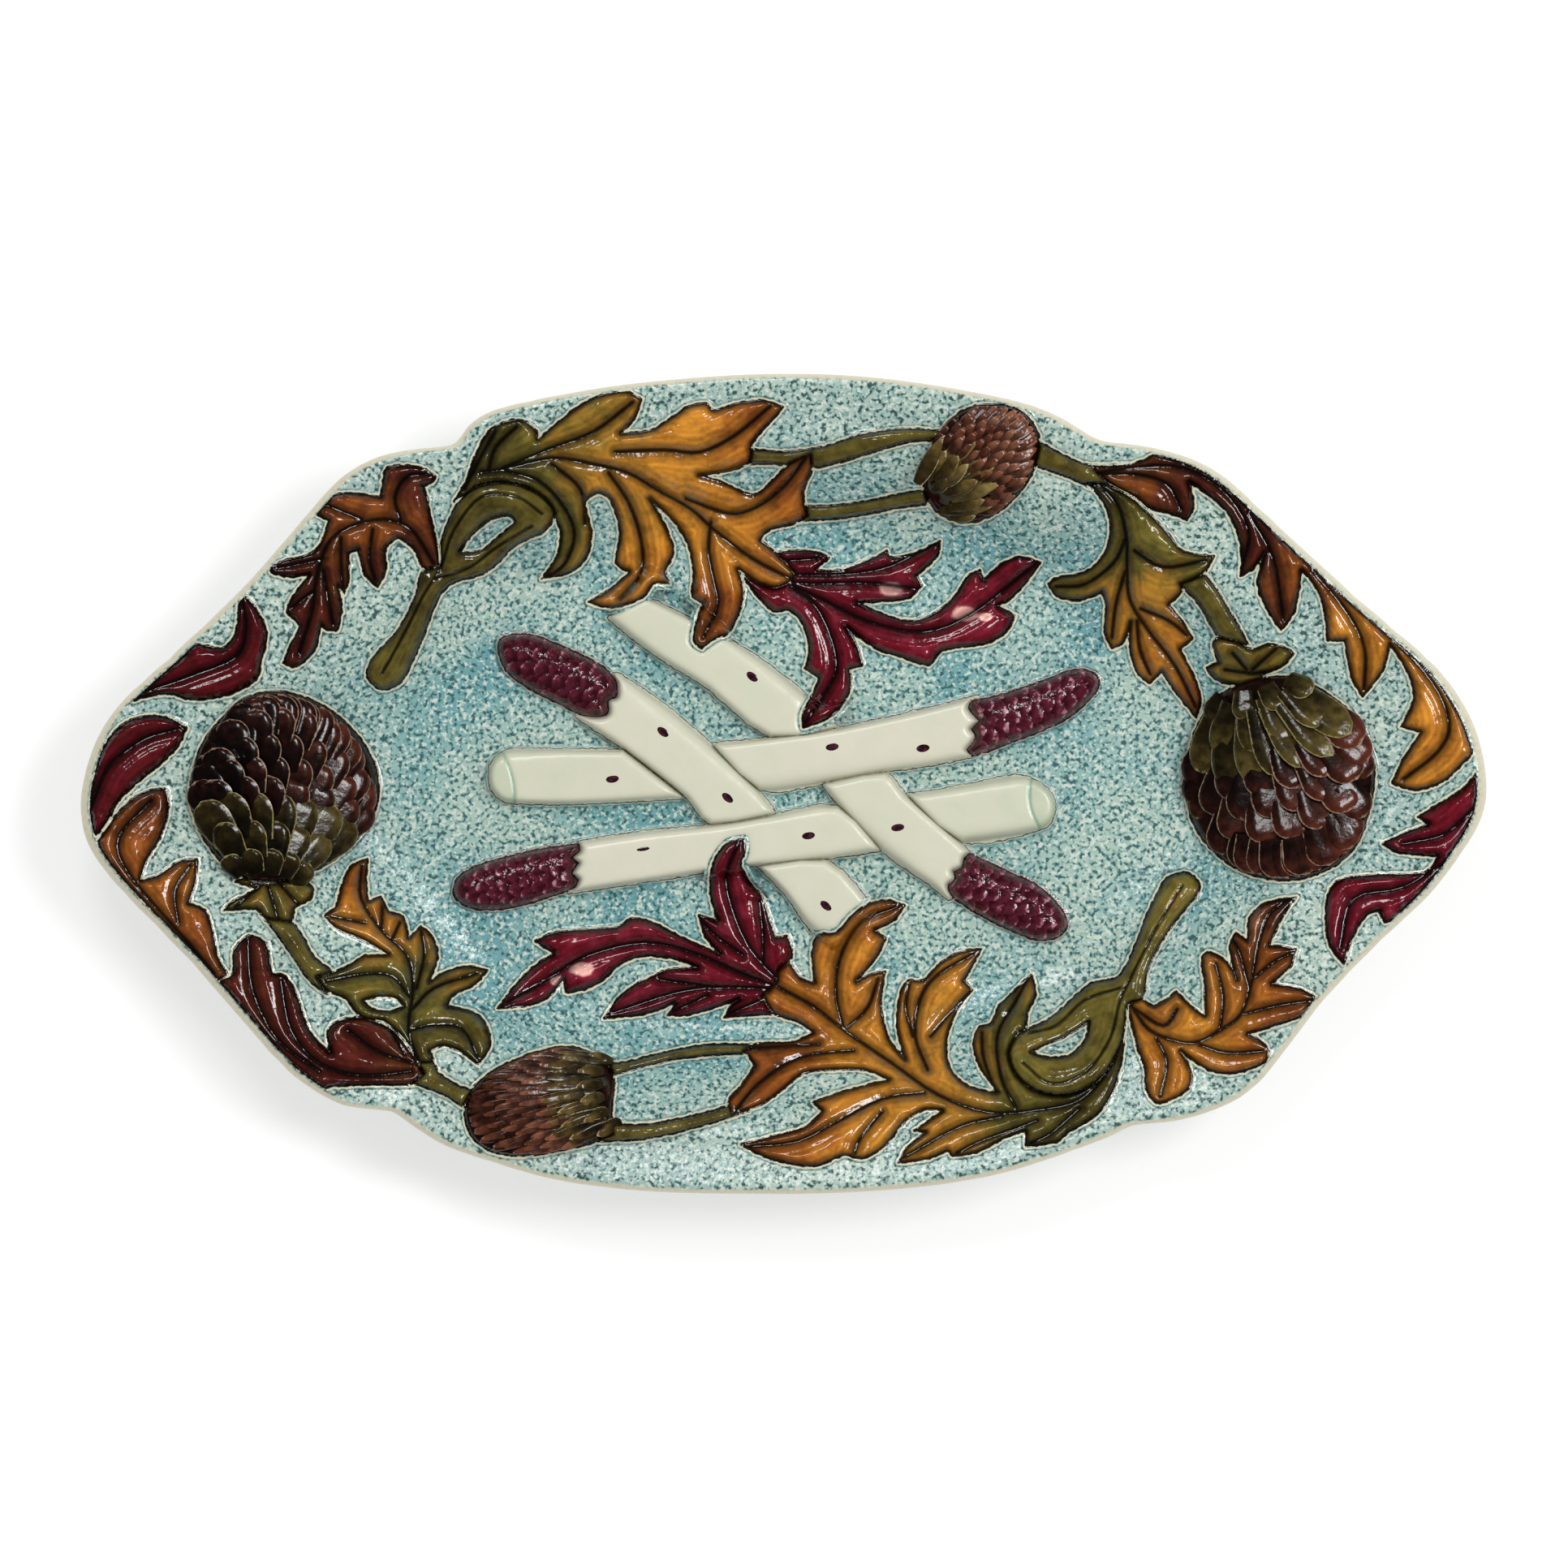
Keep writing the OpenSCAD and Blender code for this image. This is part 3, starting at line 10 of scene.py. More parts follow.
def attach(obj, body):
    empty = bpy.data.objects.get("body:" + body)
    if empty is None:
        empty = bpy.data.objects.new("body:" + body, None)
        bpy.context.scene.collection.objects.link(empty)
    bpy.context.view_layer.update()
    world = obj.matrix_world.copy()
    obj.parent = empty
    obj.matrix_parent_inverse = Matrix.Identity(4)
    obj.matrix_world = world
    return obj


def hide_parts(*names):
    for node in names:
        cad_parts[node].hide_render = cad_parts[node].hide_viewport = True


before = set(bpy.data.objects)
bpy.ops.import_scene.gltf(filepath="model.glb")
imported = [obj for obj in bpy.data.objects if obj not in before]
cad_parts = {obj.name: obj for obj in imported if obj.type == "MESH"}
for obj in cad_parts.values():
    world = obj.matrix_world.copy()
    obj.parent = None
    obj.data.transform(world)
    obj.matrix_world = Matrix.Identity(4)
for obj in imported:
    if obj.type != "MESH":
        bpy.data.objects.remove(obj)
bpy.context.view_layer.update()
MM = 0.001


# Dish body
# The whole shallow dish in fired clay: flat floor, curved wall, gently rising rim and a
# rounded lip, made fine enough to shade smoothly. It stands on the foot ring.
# Where the floor, the wall and the rim end, and where the back starts to rise, as shares of the
# way from the middle to the edge
FLOOR_SHARE = 0.575
WALL_SHARE = 0.88
LIP_SHARE = 0.985
UNDER_SHARE = 0.56
MIDDLE_SHARE = 0.004
RIM_RISE = 4.0
SIDES = 720


def cad_points(node):
    # The vertices of a CAD node, in millimetres
    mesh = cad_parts[node].data
    flat = np.zeros(len(mesh.vertices) * 3, np.float32)
    mesh.vertices.foreach_get("co", flat)
    return flat.reshape(-1, 3).astype(float) / MM


def new_mesh(name, points, faces, attributes=None):
    mesh = bpy.data.meshes.new(name)
    mesh.vertices.add(len(points))
    mesh.vertices.foreach_set("co", (np.asarray(points) * MM).astype(np.float32).ravel())
    faces = np.asarray(faces, np.int32)
    mesh.loops.add(faces.size)
    mesh.loops.foreach_set("vertex_index", faces.ravel())
    mesh.polygons.add(len(faces))
    mesh.polygons.foreach_set("loop_start", np.arange(len(faces)) * faces.shape[1])
    mesh.update(calc_edges=True)
    mesh.polygons.foreach_set("use_smooth", np.ones(len(faces), bool))
    for key, values in (attributes or {}).items():
        layer = mesh.attributes.new(key, "FLOAT", "POINT")
        layer.data.foreach_set("value", np.asarray(values, np.float32).ravel())
    obj = bpy.data.objects.new(name, mesh)
    bpy.context.scene.collection.objects.link(obj)
    return obj


def seat(obj, material, node=None):
    # Gives a finished piece its material and its body, and hides the CAD node that it stands for
    if material:
        obj.data.materials.clear()
        obj.data.materials.append(material)
    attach(obj, "root")
    if node:
        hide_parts(node)


body_points = cad_points("dish_body")
LIP_Z = body_points[:, 2].max()
UNDER_Z = body_points[:, 2].min()
FLOOR_Z = cad_points("spear_top_left")[:, 2].min()
CLAY = FLOOR_Z - UNDER_Z
RIM_Z = LIP_Z - RIM_RISE
reach = np.hypot(body_points[:, 0], body_points[:, 1])
edge_ring = np.abs(body_points[:, 2] - (LIP_Z - CLAY / 2)) < 0.01
edge_ring &= reach > 0.4 * reach.max()
rim_angle = np.arctan2(body_points[edge_ring, 1], body_points[edge_ring, 0])
rim_angle, first_of = np.unique(np.round(rim_angle, 5), return_index=True)
rim_reach = reach[edge_ring][first_of]


def between(a, b, c, d, u):
    # The point at u, from 0 to 1, on a smooth curve from b to c that is led by a and d
    bend = u * u * (2 * a - 5 * b + 4 * c - d) + u ** 3 * (3 * b - a - 3 * c + d)
    return b + 0.5 * (u * (c - a) + bend)


def rim_at(angle):
    # How far the dish reaches from its middle in each direction
    turns = np.concatenate([rim_angle - 2 * math.pi, rim_angle, rim_angle + 2 * math.pi])
    reaches = np.tile(rim_reach, 3)
    angle = (np.asarray(angle) + math.pi) % (2 * math.pi) - math.pi
    k = np.clip(np.searchsorted(turns, angle) - 1, 1, len(turns) - 3)
    u = (angle - turns[k]) / (turns[k + 1] - turns[k])
    a, b, c, d = (reaches[k + j] for j in (-1, 0, 1, 2))
    return between(a, b, c, d, u)


def share_of(x, y):
    return np.hypot(x, y) / rim_at(np.arctan2(y, x))


def top_z(share):
    # The height of the dish's face at a share of the way to the edge
    u = np.clip((share - FLOOR_SHARE) / (WALL_SHARE - FLOOR_SHARE), 0, 1)
    wall = FLOOR_Z + (RIM_Z - FLOOR_Z) * u * u * (3 - 2 * u)
    v = np.clip((share - WALL_SHARE) / (LIP_SHARE - WALL_SHARE), 0, 1)
    return wall + RIM_RISE * v


def ground_z(x, y):
    return top_z(share_of(x, y))


def swept(sections, closed_up=False):
    # sections holds one row of [reach, height] per step, each an array over the columns
    points = []
    for reaches, heights in sections:
        height = heights * np.ones(SIDES)
        points.append(np.stack([reaches * np.cos(TURN), reaches * np.sin(TURN), height], 1))
    rows = len(points)
    points = np.concatenate(points)
    c = np.arange(SIDES)
    faces = []
    for r in range(rows if closed_up else rows - 1):
        low, high = r * SIDES, (r + 1) % rows * SIDES
        ahead = (c + 1) % SIDES
        faces.append(np.stack([low + c, high + c, high + ahead, low + ahead], 1))
    return points, np.concatenate(faces)


TURN = np.linspace(0, 2 * math.pi, SIDES, endpoint=False)
RIM = rim_at(TURN)
# The dish's section as [share, height]: across the face, over the lip and back under the dish
section = [[s, float(top_z(s))] for s in np.linspace(MIDDLE_SHARE, 0.97, 74)]
section += [[0.978, LIP_Z - 0.25], [0.986, LIP_Z - 0.25], [0.993, LIP_Z - 0.7]]
section += [[0.998, LIP_Z - 1.7], [1.0, LIP_Z - 2.75], [0.998, LIP_Z - 3.9], [0.992, LIP_Z - 4.9]]
face_rows = len(section)
section += [[s, float(top_z(s)) - CLAY] for s in np.linspace(0.98, 0.60, 22)]
section += [[0.585, UNDER_Z + 0.25], [UNDER_SHARE, UNDER_Z]]
section += [[s, UNDER_Z] for s in (0.52, 0.35, 0.18, MIDDLE_SHARE)]
points, faces = swept([[s * RIM, z] for s, z in section])
share_here = np.repeat([s for s, z in section], SIDES)
under_here = np.repeat([0.0] * face_rows + [1.0] * (len(section) - face_rows), SIDES)
dish = new_mesh("dish_body", points, faces, {"share": share_here, "under": under_here})


# Stippled ground glaze
# Pale turquoise lead glaze over the whole face, sponged with dense teal and cream specks;
# it is paler on the rim and breaks to beige clay along the lip. The back is plain.
# The usual IOR of a lead glaze
GLAZE_IOR = 1.55


def nodes_of(material):
    material.use_nodes = True
    tree = material.node_tree
    tree.nodes.clear()
    return tree


def add(tree, kind, settings=None, **inputs):
    # One node with its settings and links; i0, i1 and so on name an input by its number
    node = tree.nodes.new(kind)
    for key, value in (settings or {}).items():
        setattr(node, key, value)
    for key, value in inputs.items():
        socket = node.inputs[int(key[1:])] if key[0] == "i" and key[1:].isdigit() else (
            node.inputs[key.replace("_", " ")]
        )
        if isinstance(value, bpy.types.NodeSocket):
            tree.links.new(value, socket)
        else:
            socket.default_value = value
    return node


def linear(code):
    # Blender's linear colour for an sRGB hex value
    channels = [int(code[k:k + 2], 16) / 255 for k in (1, 3, 5)]
    return tuple(
        c / 12.92 if c <= 0.04045 else ((c + 0.055) / 1.055) ** 2.4 for c in channels
    ) + (1.0,)


def ramp(tree, factor, stops):
    node = add(tree, "ShaderNodeValToRGB", Fac=factor)
    elements = node.color_ramp.elements
    while len(elements) < len(stops):
        elements.new(0.5)
    for element, (place, code) in zip(elements, stops):
        element.position = place
        element.color = linear(code)
    return node.outputs["Color"]


def step_between(tree, value, low, high):
    node = add(tree, "ShaderNodeMapRange", {"interpolation_type": "SMOOTHSTEP"}, Value=value,
               From_Min=low, From_Max=high)
    return node.outputs["Result"]


def mixed(tree, factor, one, two):
    node = add(tree, "ShaderNodeMix", {"data_type": "RGBA"}, i0=factor, i6=one, i7=two)
    return node.outputs[2]


def product(tree, one, two):
    return add(tree, "ShaderNodeMath", {"operation": "MULTIPLY"}, i0=one, i1=two).outputs[0]


def object_mm(tree):
    # The place on the object in millimetres, for patterns sized in millimetres
    place = add(tree, "ShaderNodeTexCoord").outputs["Object"]
    node = add(tree, "ShaderNodeVectorMath", {"operation": "SCALE"}, i0=place, Scale=1 / MM)
    return node.outputs[0]


def noise(tree, place, size, detail=2.0, rough=0.5):
    node = add(tree, "ShaderNodeTexNoise", Vector=place, Scale=1 / size, Detail=detail,
               Roughness=rough)
    return node.outputs["Fac"]


def stippled(tree, place):
    # Turquoise clouds with cream and teal specks about a millimetre wide
    share = add(tree, "ShaderNodeAttribute", {"attribute_name": "share"}).outputs["Fac"]
    cloud = noise(tree, place, 34.0)
    base = ramp(tree, cloud, [(0.38, "#66999E"), (0.50, "#89ACA8"), (0.62, "#A3B9AE")])
    on_rim = step_between(tree, share, 0.66, 0.90)
    base = mixed(tree, product(tree, on_rim, 0.65), base, linear("#AAB8AC"))
    pale = step_between(tree, noise(tree, place, 1.3, 1.0), 0.50, 0.62)
    base = mixed(tree, product(tree, pale, 0.85), base, linear("#C9D2C6"))
    dots = noise(tree, add(tree, "ShaderNodeVectorMath", {"operation": "ADD"}, i0=place,
                           i1=(71.0, 13.0, 5.0)).outputs[0], 1.3, 1.0)
    teal = step_between(tree, dots, 0.47, 0.57)
    base = mixed(tree, product(tree, teal, 0.70), base, linear("#5B8B8A"))
    dark = step_between(tree, dots, 0.56, 0.67)
    speck = mixed(tree, on_rim, linear("#2C5257"), linear("#2A403C"))
    return mixed(tree, product(tree, dark, 0.9), base, speck)


def glazed(tree, color, rough, bump=None):
    # The finished surface, from glassy at a low roughness to matt at a high one
    shader = add(tree, "ShaderNodeBsdfPrincipled", Base_Color=color, Roughness=rough)
    shader.inputs["IOR"].default_value = GLAZE_IOR
    if bump is not None:
        tree.links.new(bump, shader.inputs["Normal"])
    add(tree, "ShaderNodeOutputMaterial", Surface=shader.outputs[0])


def bumped(tree, height, depth):
    node = add(tree, "ShaderNodeBump", Height=height, Distance=depth * MM, Strength=1.0)
    return node.outputs[0]


# Glossy turquoise lead glaze, stippled
ground = bpy.data.materials.new("stippled turquoise glaze")
tree = nodes_of(ground)
place = object_mm(tree)
share = add(tree, "ShaderNodeAttribute", {"attribute_name": "share"}).outputs["Fac"]
under = add(tree, "ShaderNodeAttribute", {"attribute_name": "under"}).outputs["Fac"]
color = stippled(tree, place)
wobble = noise(tree, place, 9.0)
lip = add(tree, "ShaderNodeMath", {"operation": "MULTIPLY_ADD"}, i0=wobble, i1=0.008, i2=share)
wear_and_glints = step_between(tree, lip.outputs[0], 0.990, 0.996)
color = mixed(tree, product(tree, wear_and_glints, 0.9), color, linear("#C9C1A8"))
color = mixed(tree, under, color, linear("#BFC8BA"))
uneven = noise(tree, place, 3.0, 3.0)
glazed(tree, color, 0.22, bumped(tree, uneven, 0.35))
seat(dish, ground, "dish_body")


# Foot ring
# An unglazed ring of the same clay under the floor, wiped clean before firing. Its inner and
# outer edges are slightly rounded.
# Bare fired clay, buff, matt
bare = bpy.data.materials.new("bare buff clay")
tree = nodes_of(bare)
grain = noise(tree, object_mm(tree), 0.9, 3.0)
glazed(tree, ramp(tree, grain, [(0.35, "#B7A687"), (0.65, "#CDBE9F")]), 0.75,
       bumped(tree, grain, 0.08))
foot_points = cad_points("foot_ring")
FOOT_TOP = foot_points[:, 2].max()
foot_reach = np.hypot(foot_points[:, 0], foot_points[:, 1]).max()
FOOT_SHARE = foot_reach / rim_reach.max()
FOOT_WIDTH = 7.0
ROUND = 0.8
outer = RIM * FOOT_SHARE
inner = outer - FOOT_WIDTH
section = [[outer, FOOT_TOP], [outer, ROUND], [outer - ROUND * 0.3, ROUND * 0.3]]
section += [[outer - ROUND, 0.0], [inner + ROUND, 0.0], [inner + ROUND * 0.3, ROUND * 0.3]]
section += [[inner, ROUND], [inner, FOOT_TOP]]
points, faces = swept(section, closed_up=True)
seat(new_mesh("foot_ring", points, faces), bare, "foot_ring")


# Spears
# Four asparagus spears woven over one another on the floor, moulded with the dish. Each has a
# broad back, rounded down at the sides; where one dives under another it ends in a fine crease.
HALF_L = np.abs(body_points[:, 0]).max()
HALF_W = np.abs(body_points[:, 1]).max()
# The grid of the moulded skins and the band of ground that each takes along round its outline
STEP = 0.45
BAND = 2.3
# The lift of a skin at its outline, the bead of glaze round it, and how far the band then sinks
SKIN = 0.14
BEAD = 0.30
SINK = 0.45
# Corners sharper than this, in degrees, stay sharp
SHARP = 70.0
# Parts between two points of a vein, and the distance that stands for no vein near by
LINE_PARTS = 4
NO_VEIN = 30.0


def cad_triangles(node):
    # The triangles of a CAD node, as rows of three vertex numbers
    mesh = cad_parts[node].data
    mesh.calc_loop_triangles()
    flat = np.zeros(len(mesh.loop_triangles) * 3, np.int32)
    mesh.loop_triangles.foreach_get("vertices", flat)
    return flat.reshape(-1, 3)


def plan_loops(node):
    # The outlines of a solid's underside, which faces down close over the dish, smoothed but
    # for its sharp corners
    points = np.round(cad_points(node), 3)
    points, where = np.unique(points, axis=0, return_inverse=True)
    triangles = where.ravel()[cad_triangles(node)]
    a, b, c = (points[triangles[:, k]] for k in range(3))
    normal = np.cross(b - a, c - a)
    down = normal[:, 2] < -0.3 * np.linalg.norm(normal, axis=1)
    low = np.minimum(np.minimum(a[:, 2], b[:, 2]), c[:, 2])
    middle = (a + b + c) / 3
    down &= low < ground_z(middle[:, 0], middle[:, 1]) + 0.8
    edges = set()
    for t in triangles[down]:
        for k in range(3):
            edges.add((int(t[k]), int(t[(k + 1) % 3])))
    after = {}
    for u, v in edges:
        if (v, u) not in edges:
            after.setdefault(u, []).append(v)
    loops = []
    while after:
        start = here = next(iter(after))
        loop = []
        while here in after:
            loop.append(points[here][:2])
            ahead = after[here].pop()
            if not after[here]:
                del after[here]
            here = ahead
            if here == start:
                break
        if len(loop) > 2:
            loops.append(rounded(np.array(loop), SHARP, parts=3))
    return [loop for loop in loops if abs(area_of(loop)) > 1.0]


def area_of(loop):
    return 0.5 * np.sum(loop[:, 0] * np.roll(loop[:, 1], -1) - loop[:, 1] * np.roll(loop[:, 0], -1))


def rounded(loop, sharp, parts):
    # The loop without the points that lie on a straight run, then curved in small parts
    keep = []
    for before, here, ahead in zip(np.roll(loop, 1, 0), loop, np.roll(loop, -1, 0)):
        one, two = here - before, ahead - here
        turn = abs(one[0] * two[1] - one[1] * two[0])
        keep.append(turn > 0.012 * np.linalg.norm(one) * np.linalg.norm(two)
                    or np.dot(one, two) < 0)
    loop = loop[np.array(keep)]
    before, ahead = loop - np.roll(loop, 1, 0), np.roll(loop, -1, 0) - loop
    lengths = np.linalg.norm(before, axis=1) * np.linalg.norm(ahead, axis=1) + 1e-9
    bend = np.degrees(np.arccos(np.clip(np.sum(before * ahead, 1) / lengths, -1, 1)))
    slope = (before + ahead) / 2
    slope[bend > sharp] = 0
    out = []
    for k in range(len(loop)):
        p, q = loop[k], loop[(k + 1) % len(loop)]
        m, n = slope[k], slope[(k + 1) % len(loop)]
        reach = np.linalg.norm(q - p)
        m = m * min(1, reach / (np.linalg.norm(m) + 1e-9))
        n = n * min(1, reach / (np.linalg.norm(n) + 1e-9))
        for u in np.arange(parts) / parts:
            out.append((2 * u ** 3 - 3 * u * u + 1) * p + (u ** 3 - 2 * u * u + u) * m
                       + (3 * u * u - 2 * u ** 3) * q + (u ** 3 - u * u) * n)
    return np.array(out)


def line_distance(x, y, line, closed=False):
    # How far each point lies from a line of short straight parts
    nearest = np.full(x.shape, 1e3)
    count = len(line) if closed else len(line) - 1
    for k in range(count):
        p, q = line[k], line[(k + 1) % len(line)]
        d = q - p
        along = np.clip(((x - p[0]) * d[0] + (y - p[1]) * d[1]) / (d @ d + 1e-9), 0, 1)
        gap = np.hypot(x - p[0] - along * d[0], y - p[1] - along * d[1])
        nearest = np.minimum(nearest, gap)
    return nearest


def depth_in(x, y, loops):
    # How far inside the outlines each point lies; less than nothing outside them
    inside = np.zeros(x.shape, bool)
    gap = np.full(x.shape, 1e3)
    for loop in loops:
        gap = np.minimum(gap, line_distance(x, y, loop, closed=True))
        for p, q in zip(loop, np.roll(loop, -1, 0)):
            if p[1] != q[1]:
                crossing = (p[1] > y) != (q[1] > y)
                inside ^= crossing & (x < (q[0] - p[0]) * (y - p[1]) / (q[1] - p[1]) + p[0])
    return np.where(inside, gap, -gap)


def in_mm(shares):
    return np.array([[s[0] * HALF_L, s[1] * HALF_W] for s in shares])


def blended(x, y, spots):
    # A value at each point from a few given spots [x, y, value]
    total, weight = np.zeros(x.shape), np.zeros(x.shape)
    for sx, sy, value in spots:
        w = 1 / (np.hypot(x - sx * HALF_L, y - sy * HALF_W) + 1.5) ** 3.0
        total += w * value
        weight += w
    return total / weight


def motif(name, loops, height, veins=(), tones=((0, 0, 0.5),), base=None):
    # A fine moulded skin over the dish: height gives its rise from the depth inside its
    # outline and the distance to its veins; it runs on as a thin band round the outline
    every = np.concatenate(loops)
    low, high = every.min(0) - BAND - STEP, every.max(0) + BAND + STEP
    x, y = np.meshgrid(np.arange(low[0], high[0], STEP), np.arange(low[1], high[1], STEP))
    depth = depth_in(x, y, loops)
    dy, dx = np.gradient(depth, STEP)
    near = np.abs(depth) < 0.5 * STEP
    x = np.where(near, x - depth * dx, x)
    y = np.where(near, y - depth * dy, y)
    depth = np.where(near, 0.0, depth)
    vein = np.full(x.shape, NO_VEIN)
    for line in veins:
        vein = np.minimum(vein, line_distance(x, y, curved(in_mm(line))))
    rise = np.where(depth > 0, height(np.maximum(depth, 0), vein, x, y), 0)
    bead = BEAD * np.exp(-((depth + 0.5) / 0.55) ** 2)
    outside = bead - SINK * np.clip((-depth - 1.5) / 0.8, 0, 1)
    rise = rise + np.where(depth > 0, SKIN, np.maximum(outside, -SINK))
    z = ground_z(x, y) + (base(x, y) if base else 0) + rise
    used = (depth > -BAND) & (share_of(x, y) < LIP_SHARE + 0.003)
    number = np.cumsum(used.ravel()).reshape(used.shape) - 1
    whole = used[:-1, :-1] & used[1:, :-1] & used[:-1, 1:] & used[1:, 1:]
    r, c = np.nonzero(whole)
    faces = np.stack([number[r, c], number[r, c + 1], number[r + 1, c + 1], number[r + 1, c]], 1)
    points = np.stack([x[used], y[used], z[used]], 1)
    return new_mesh(name, points, faces, {
        "depth": depth[used], "vein": vein[used],
        "tone": tones(x[used], y[used]) if callable(tones) else blended(x[used], y[used], tones),
        "rise": rise[used], "share": share_of(x, y)[used],
    })


def curved(line):
    # A line through a few points, smoothed
    ends = np.concatenate([[2 * line[0] - line[1]], line, [2 * line[-1] - line[-2]]])
    out = []
    for a, b, c, d in zip(ends, ends[1:], ends[2:], ends[3:]):
        out += [between(a, b, c, d, u) for u in np.arange(LINE_PARTS) / LINE_PARTS]
    return np.array(out + [line[-1]])


SPEARS = ("top_left", "bottom_right", "top_right", "bottom_left")
SPEAR_RISE = cad_points("spear_top_left")[:, 2].max() - FLOOR_Z
spear_axis, cut_end = {}, {}
for which in SPEARS:
    own = np.concatenate([cad_points("spear_" + which)[:, :2], cad_points("tip_" + which)[:, :2]])
    centre = (own.min(0) + own.max(0)) / 2
    # Each pass brings the centre back to the middle of the spear's width
    for _ in range(3):
        away = own - centre
        main = np.linalg.svd(away - away.mean(0), full_matrices=False)[2][0]
        side = np.array([-main[1], main[0]])
        off = away @ side
        centre = centre + side * (off.min() + off.max()) / 2
    spear_axis[which] = (centre, side, (off.max() - off.min()) / 2)
    tip_side = (cad_points("tip_" + which)[:, :2].mean(0) - centre) @ main
    cut_end[which] = centre - main * math.copysign(np.abs(away @ main).max(), tip_side)


def spear_back(which):
    # How high the spear's back is over each point
    centre, side, half = spear_axis[which]

    def back(x, y):
        off = np.abs((x - centre[0]) * side[0] + (y - centre[1]) * side[1]) / half
        return SPEAR_RISE * np.sqrt(np.clip(1 - off ** 6, 0, 1))
    return back


def glaze_lines(tree, color, place, pale_code="#CBC9B0", pale_width=0.45, line_code="#34504C"):
    # Round each piece: a broken pale line, a fine dark line, then the ground
    depth = add(tree, "ShaderNodeAttribute", {"attribute_name": "depth"}).outputs["Fac"]
    shake = noise(tree, place, 1.8, 2.0)
    depth = add(tree, "ShaderNodeMath", {"operation": "MULTIPLY_ADD"}, i0=shake, i1=1.2,
                i2=depth).outputs[0]
    around = stippled(tree, place)
    wear_and_glints = step_between(tree, noise(tree, place, 7.0, 2.0), 0.36, 0.60)
    pale_here = mixed(tree, add(tree, "ShaderNodeMapRange", Value=wear_and_glints, To_Min=0.55,
                                To_Max=1.0).outputs["Result"], around, linear(pale_code))
    inside = step_between(tree, depth, 0.40, 0.75)
    color = mixed(tree, inside, linear("#1C1F18"), color)
    dark_edge = step_between(tree, depth, 0.15, 0.40)
    color = mixed(tree, dark_edge, pale_here, color)
    pale = step_between(tree, depth, 0.10 - pale_width, 0.30 - pale_width)
    color = mixed(tree, pale, mixed(tree, 0.5, around, linear(line_code)), color)
    line = step_between(tree, depth, -0.50 - pale_width, -0.20 - pale_width)
    return mixed(tree, line, around, color)


def toned(tree, place, size, detail, level):
    # The piece's own tone at each point, made uneven by soft clouds
    tone = add(tree, "ShaderNodeAttribute", {"attribute_name": "tone"}).outputs["Fac"]
    clouds = noise(tree, place, size, detail)
    return add(tree, "ShaderNodeMath", {"operation": "MULTIPLY_ADD"}, i0=clouds, i1=level,
               i2=tone).outputs[0]


# Pale cream glaze with a green cast, greener in the hollows
spear_glaze = bpy.data.materials.new("pale cream glaze")
tree = nodes_of(spear_glaze)
place = object_mm(tree)
cloud = toned(tree, place, 8.0, 2.0, 0.5)
color = ramp(tree, cloud, [(0.30, "#CBC8B5"), (0.62, "#C3C5AF"), (0.95, "#A9B79B"), (1.0, "#8FA694")])
glazed(tree, glaze_lines(tree, color, place, "#C3CDBE", 0.2, "#3F7F80"), 0.28,
       bumped(tree, noise(tree, place, 5.0), 0.2))


# The cut face reaches this far along the spear from its end, and a fine line marks its edge
CUT_FACE = 8.0
CUT_LINE = 0.35
# The other two spears end under a leaf
SEEN_CUTS = ("top_right", "bottom_left")


def from_face(which, x, y):
    # How far each point lies from the edge of the cut face at the end of the spear
    side, half = spear_axis[which][1:]
    end = cut_end[which]
    off = (x - end[0]) * side[0] + (y - end[1]) * side[1]
    away = np.hypot(x - end[0], y - end[1])
    return np.sqrt(np.maximum(away ** 2 - off ** 2, 0)) - CUT_FACE + 2.5 * (off / half) ** 2


def spear_height(which):
    back = spear_back(which)

    def height(depth, vein, x, y):
        notch = CUT_LINE * np.exp(-(from_face(which, x, y) / 0.5) ** 2)
        notch = notch * np.clip(depth - 0.8, 0, 1)
        notch = notch if which in SEEN_CUTS else 0
        return back(x, y) * (1 - np.exp(-depth / 0.5)) + 0.25 * (1 - np.exp(-depth / 0.4)) - notch
    return height


def spear_tone(which, spots):
    def tone(x, y):
        if which not in SEEN_CUTS:
            return blended(x, y, spots)
        gap = from_face(which, x, y)
        line = 0.45 * np.exp(-(gap / 0.6) ** 2)
        return blended(x, y, spots) + line + np.where(gap < 0, 0.15, 0)
    return tone


# Where the spears' colour turns greener, as [x, y, tone]
spear_tones = {
    "top_left": [(-0.36, 0.37, 0.1), (0.0, 0.03, 0.25), (0.13, -0.24, 0.2)],
    "bottom_right": [(0.30, 0.36, 0.1), (0.0, -0.05, 0.25), (-0.2, 0.3, 0.3)],
    "top_right": [(-0.37, 0.07, 0.3), (0.1, 0.15, 0.1), (-0.1, 0.1, 0.2)],
    "bottom_left": [(0.36, -0.1, 0.35), (0.0, -0.12, 0.2), (-0.2, -0.14, 0.1)],
}
for which in SPEARS:
    node = "spear_" + which
    obj = motif(node, plan_loops(node), spear_height(which),
                tones=spear_tone(which, spear_tones[which]))
    seat(obj, spear_glaze, node)


# Spear tips
# The purple heads of the four spears, each with pointed scales that overlap towards the
# point. They are moulded on the end of the spear.
# Dark purple glaze, painted darker at the root of each scale and pink at its tip: painted shade
# and painted glints, where the glaze also runs thin
tip_glaze = bpy.data.materials.new("purple glaze")
tree = nodes_of(tip_glaze)
place = object_mm(tree)
cloud = toned(tree, place, 2.0, 3.0, 0.6)
color = ramp(tree, cloud, [(0.30, "#100206"), (0.60, "#340A14"), (0.82, "#571C2C"), (0.92, "#AA7C86")])
glazed(tree, glaze_lines(tree, color, place, "#B4A9A0", 0.2), 0.12,
       bumped(tree, noise(tree, place, 1.6), 0.3))


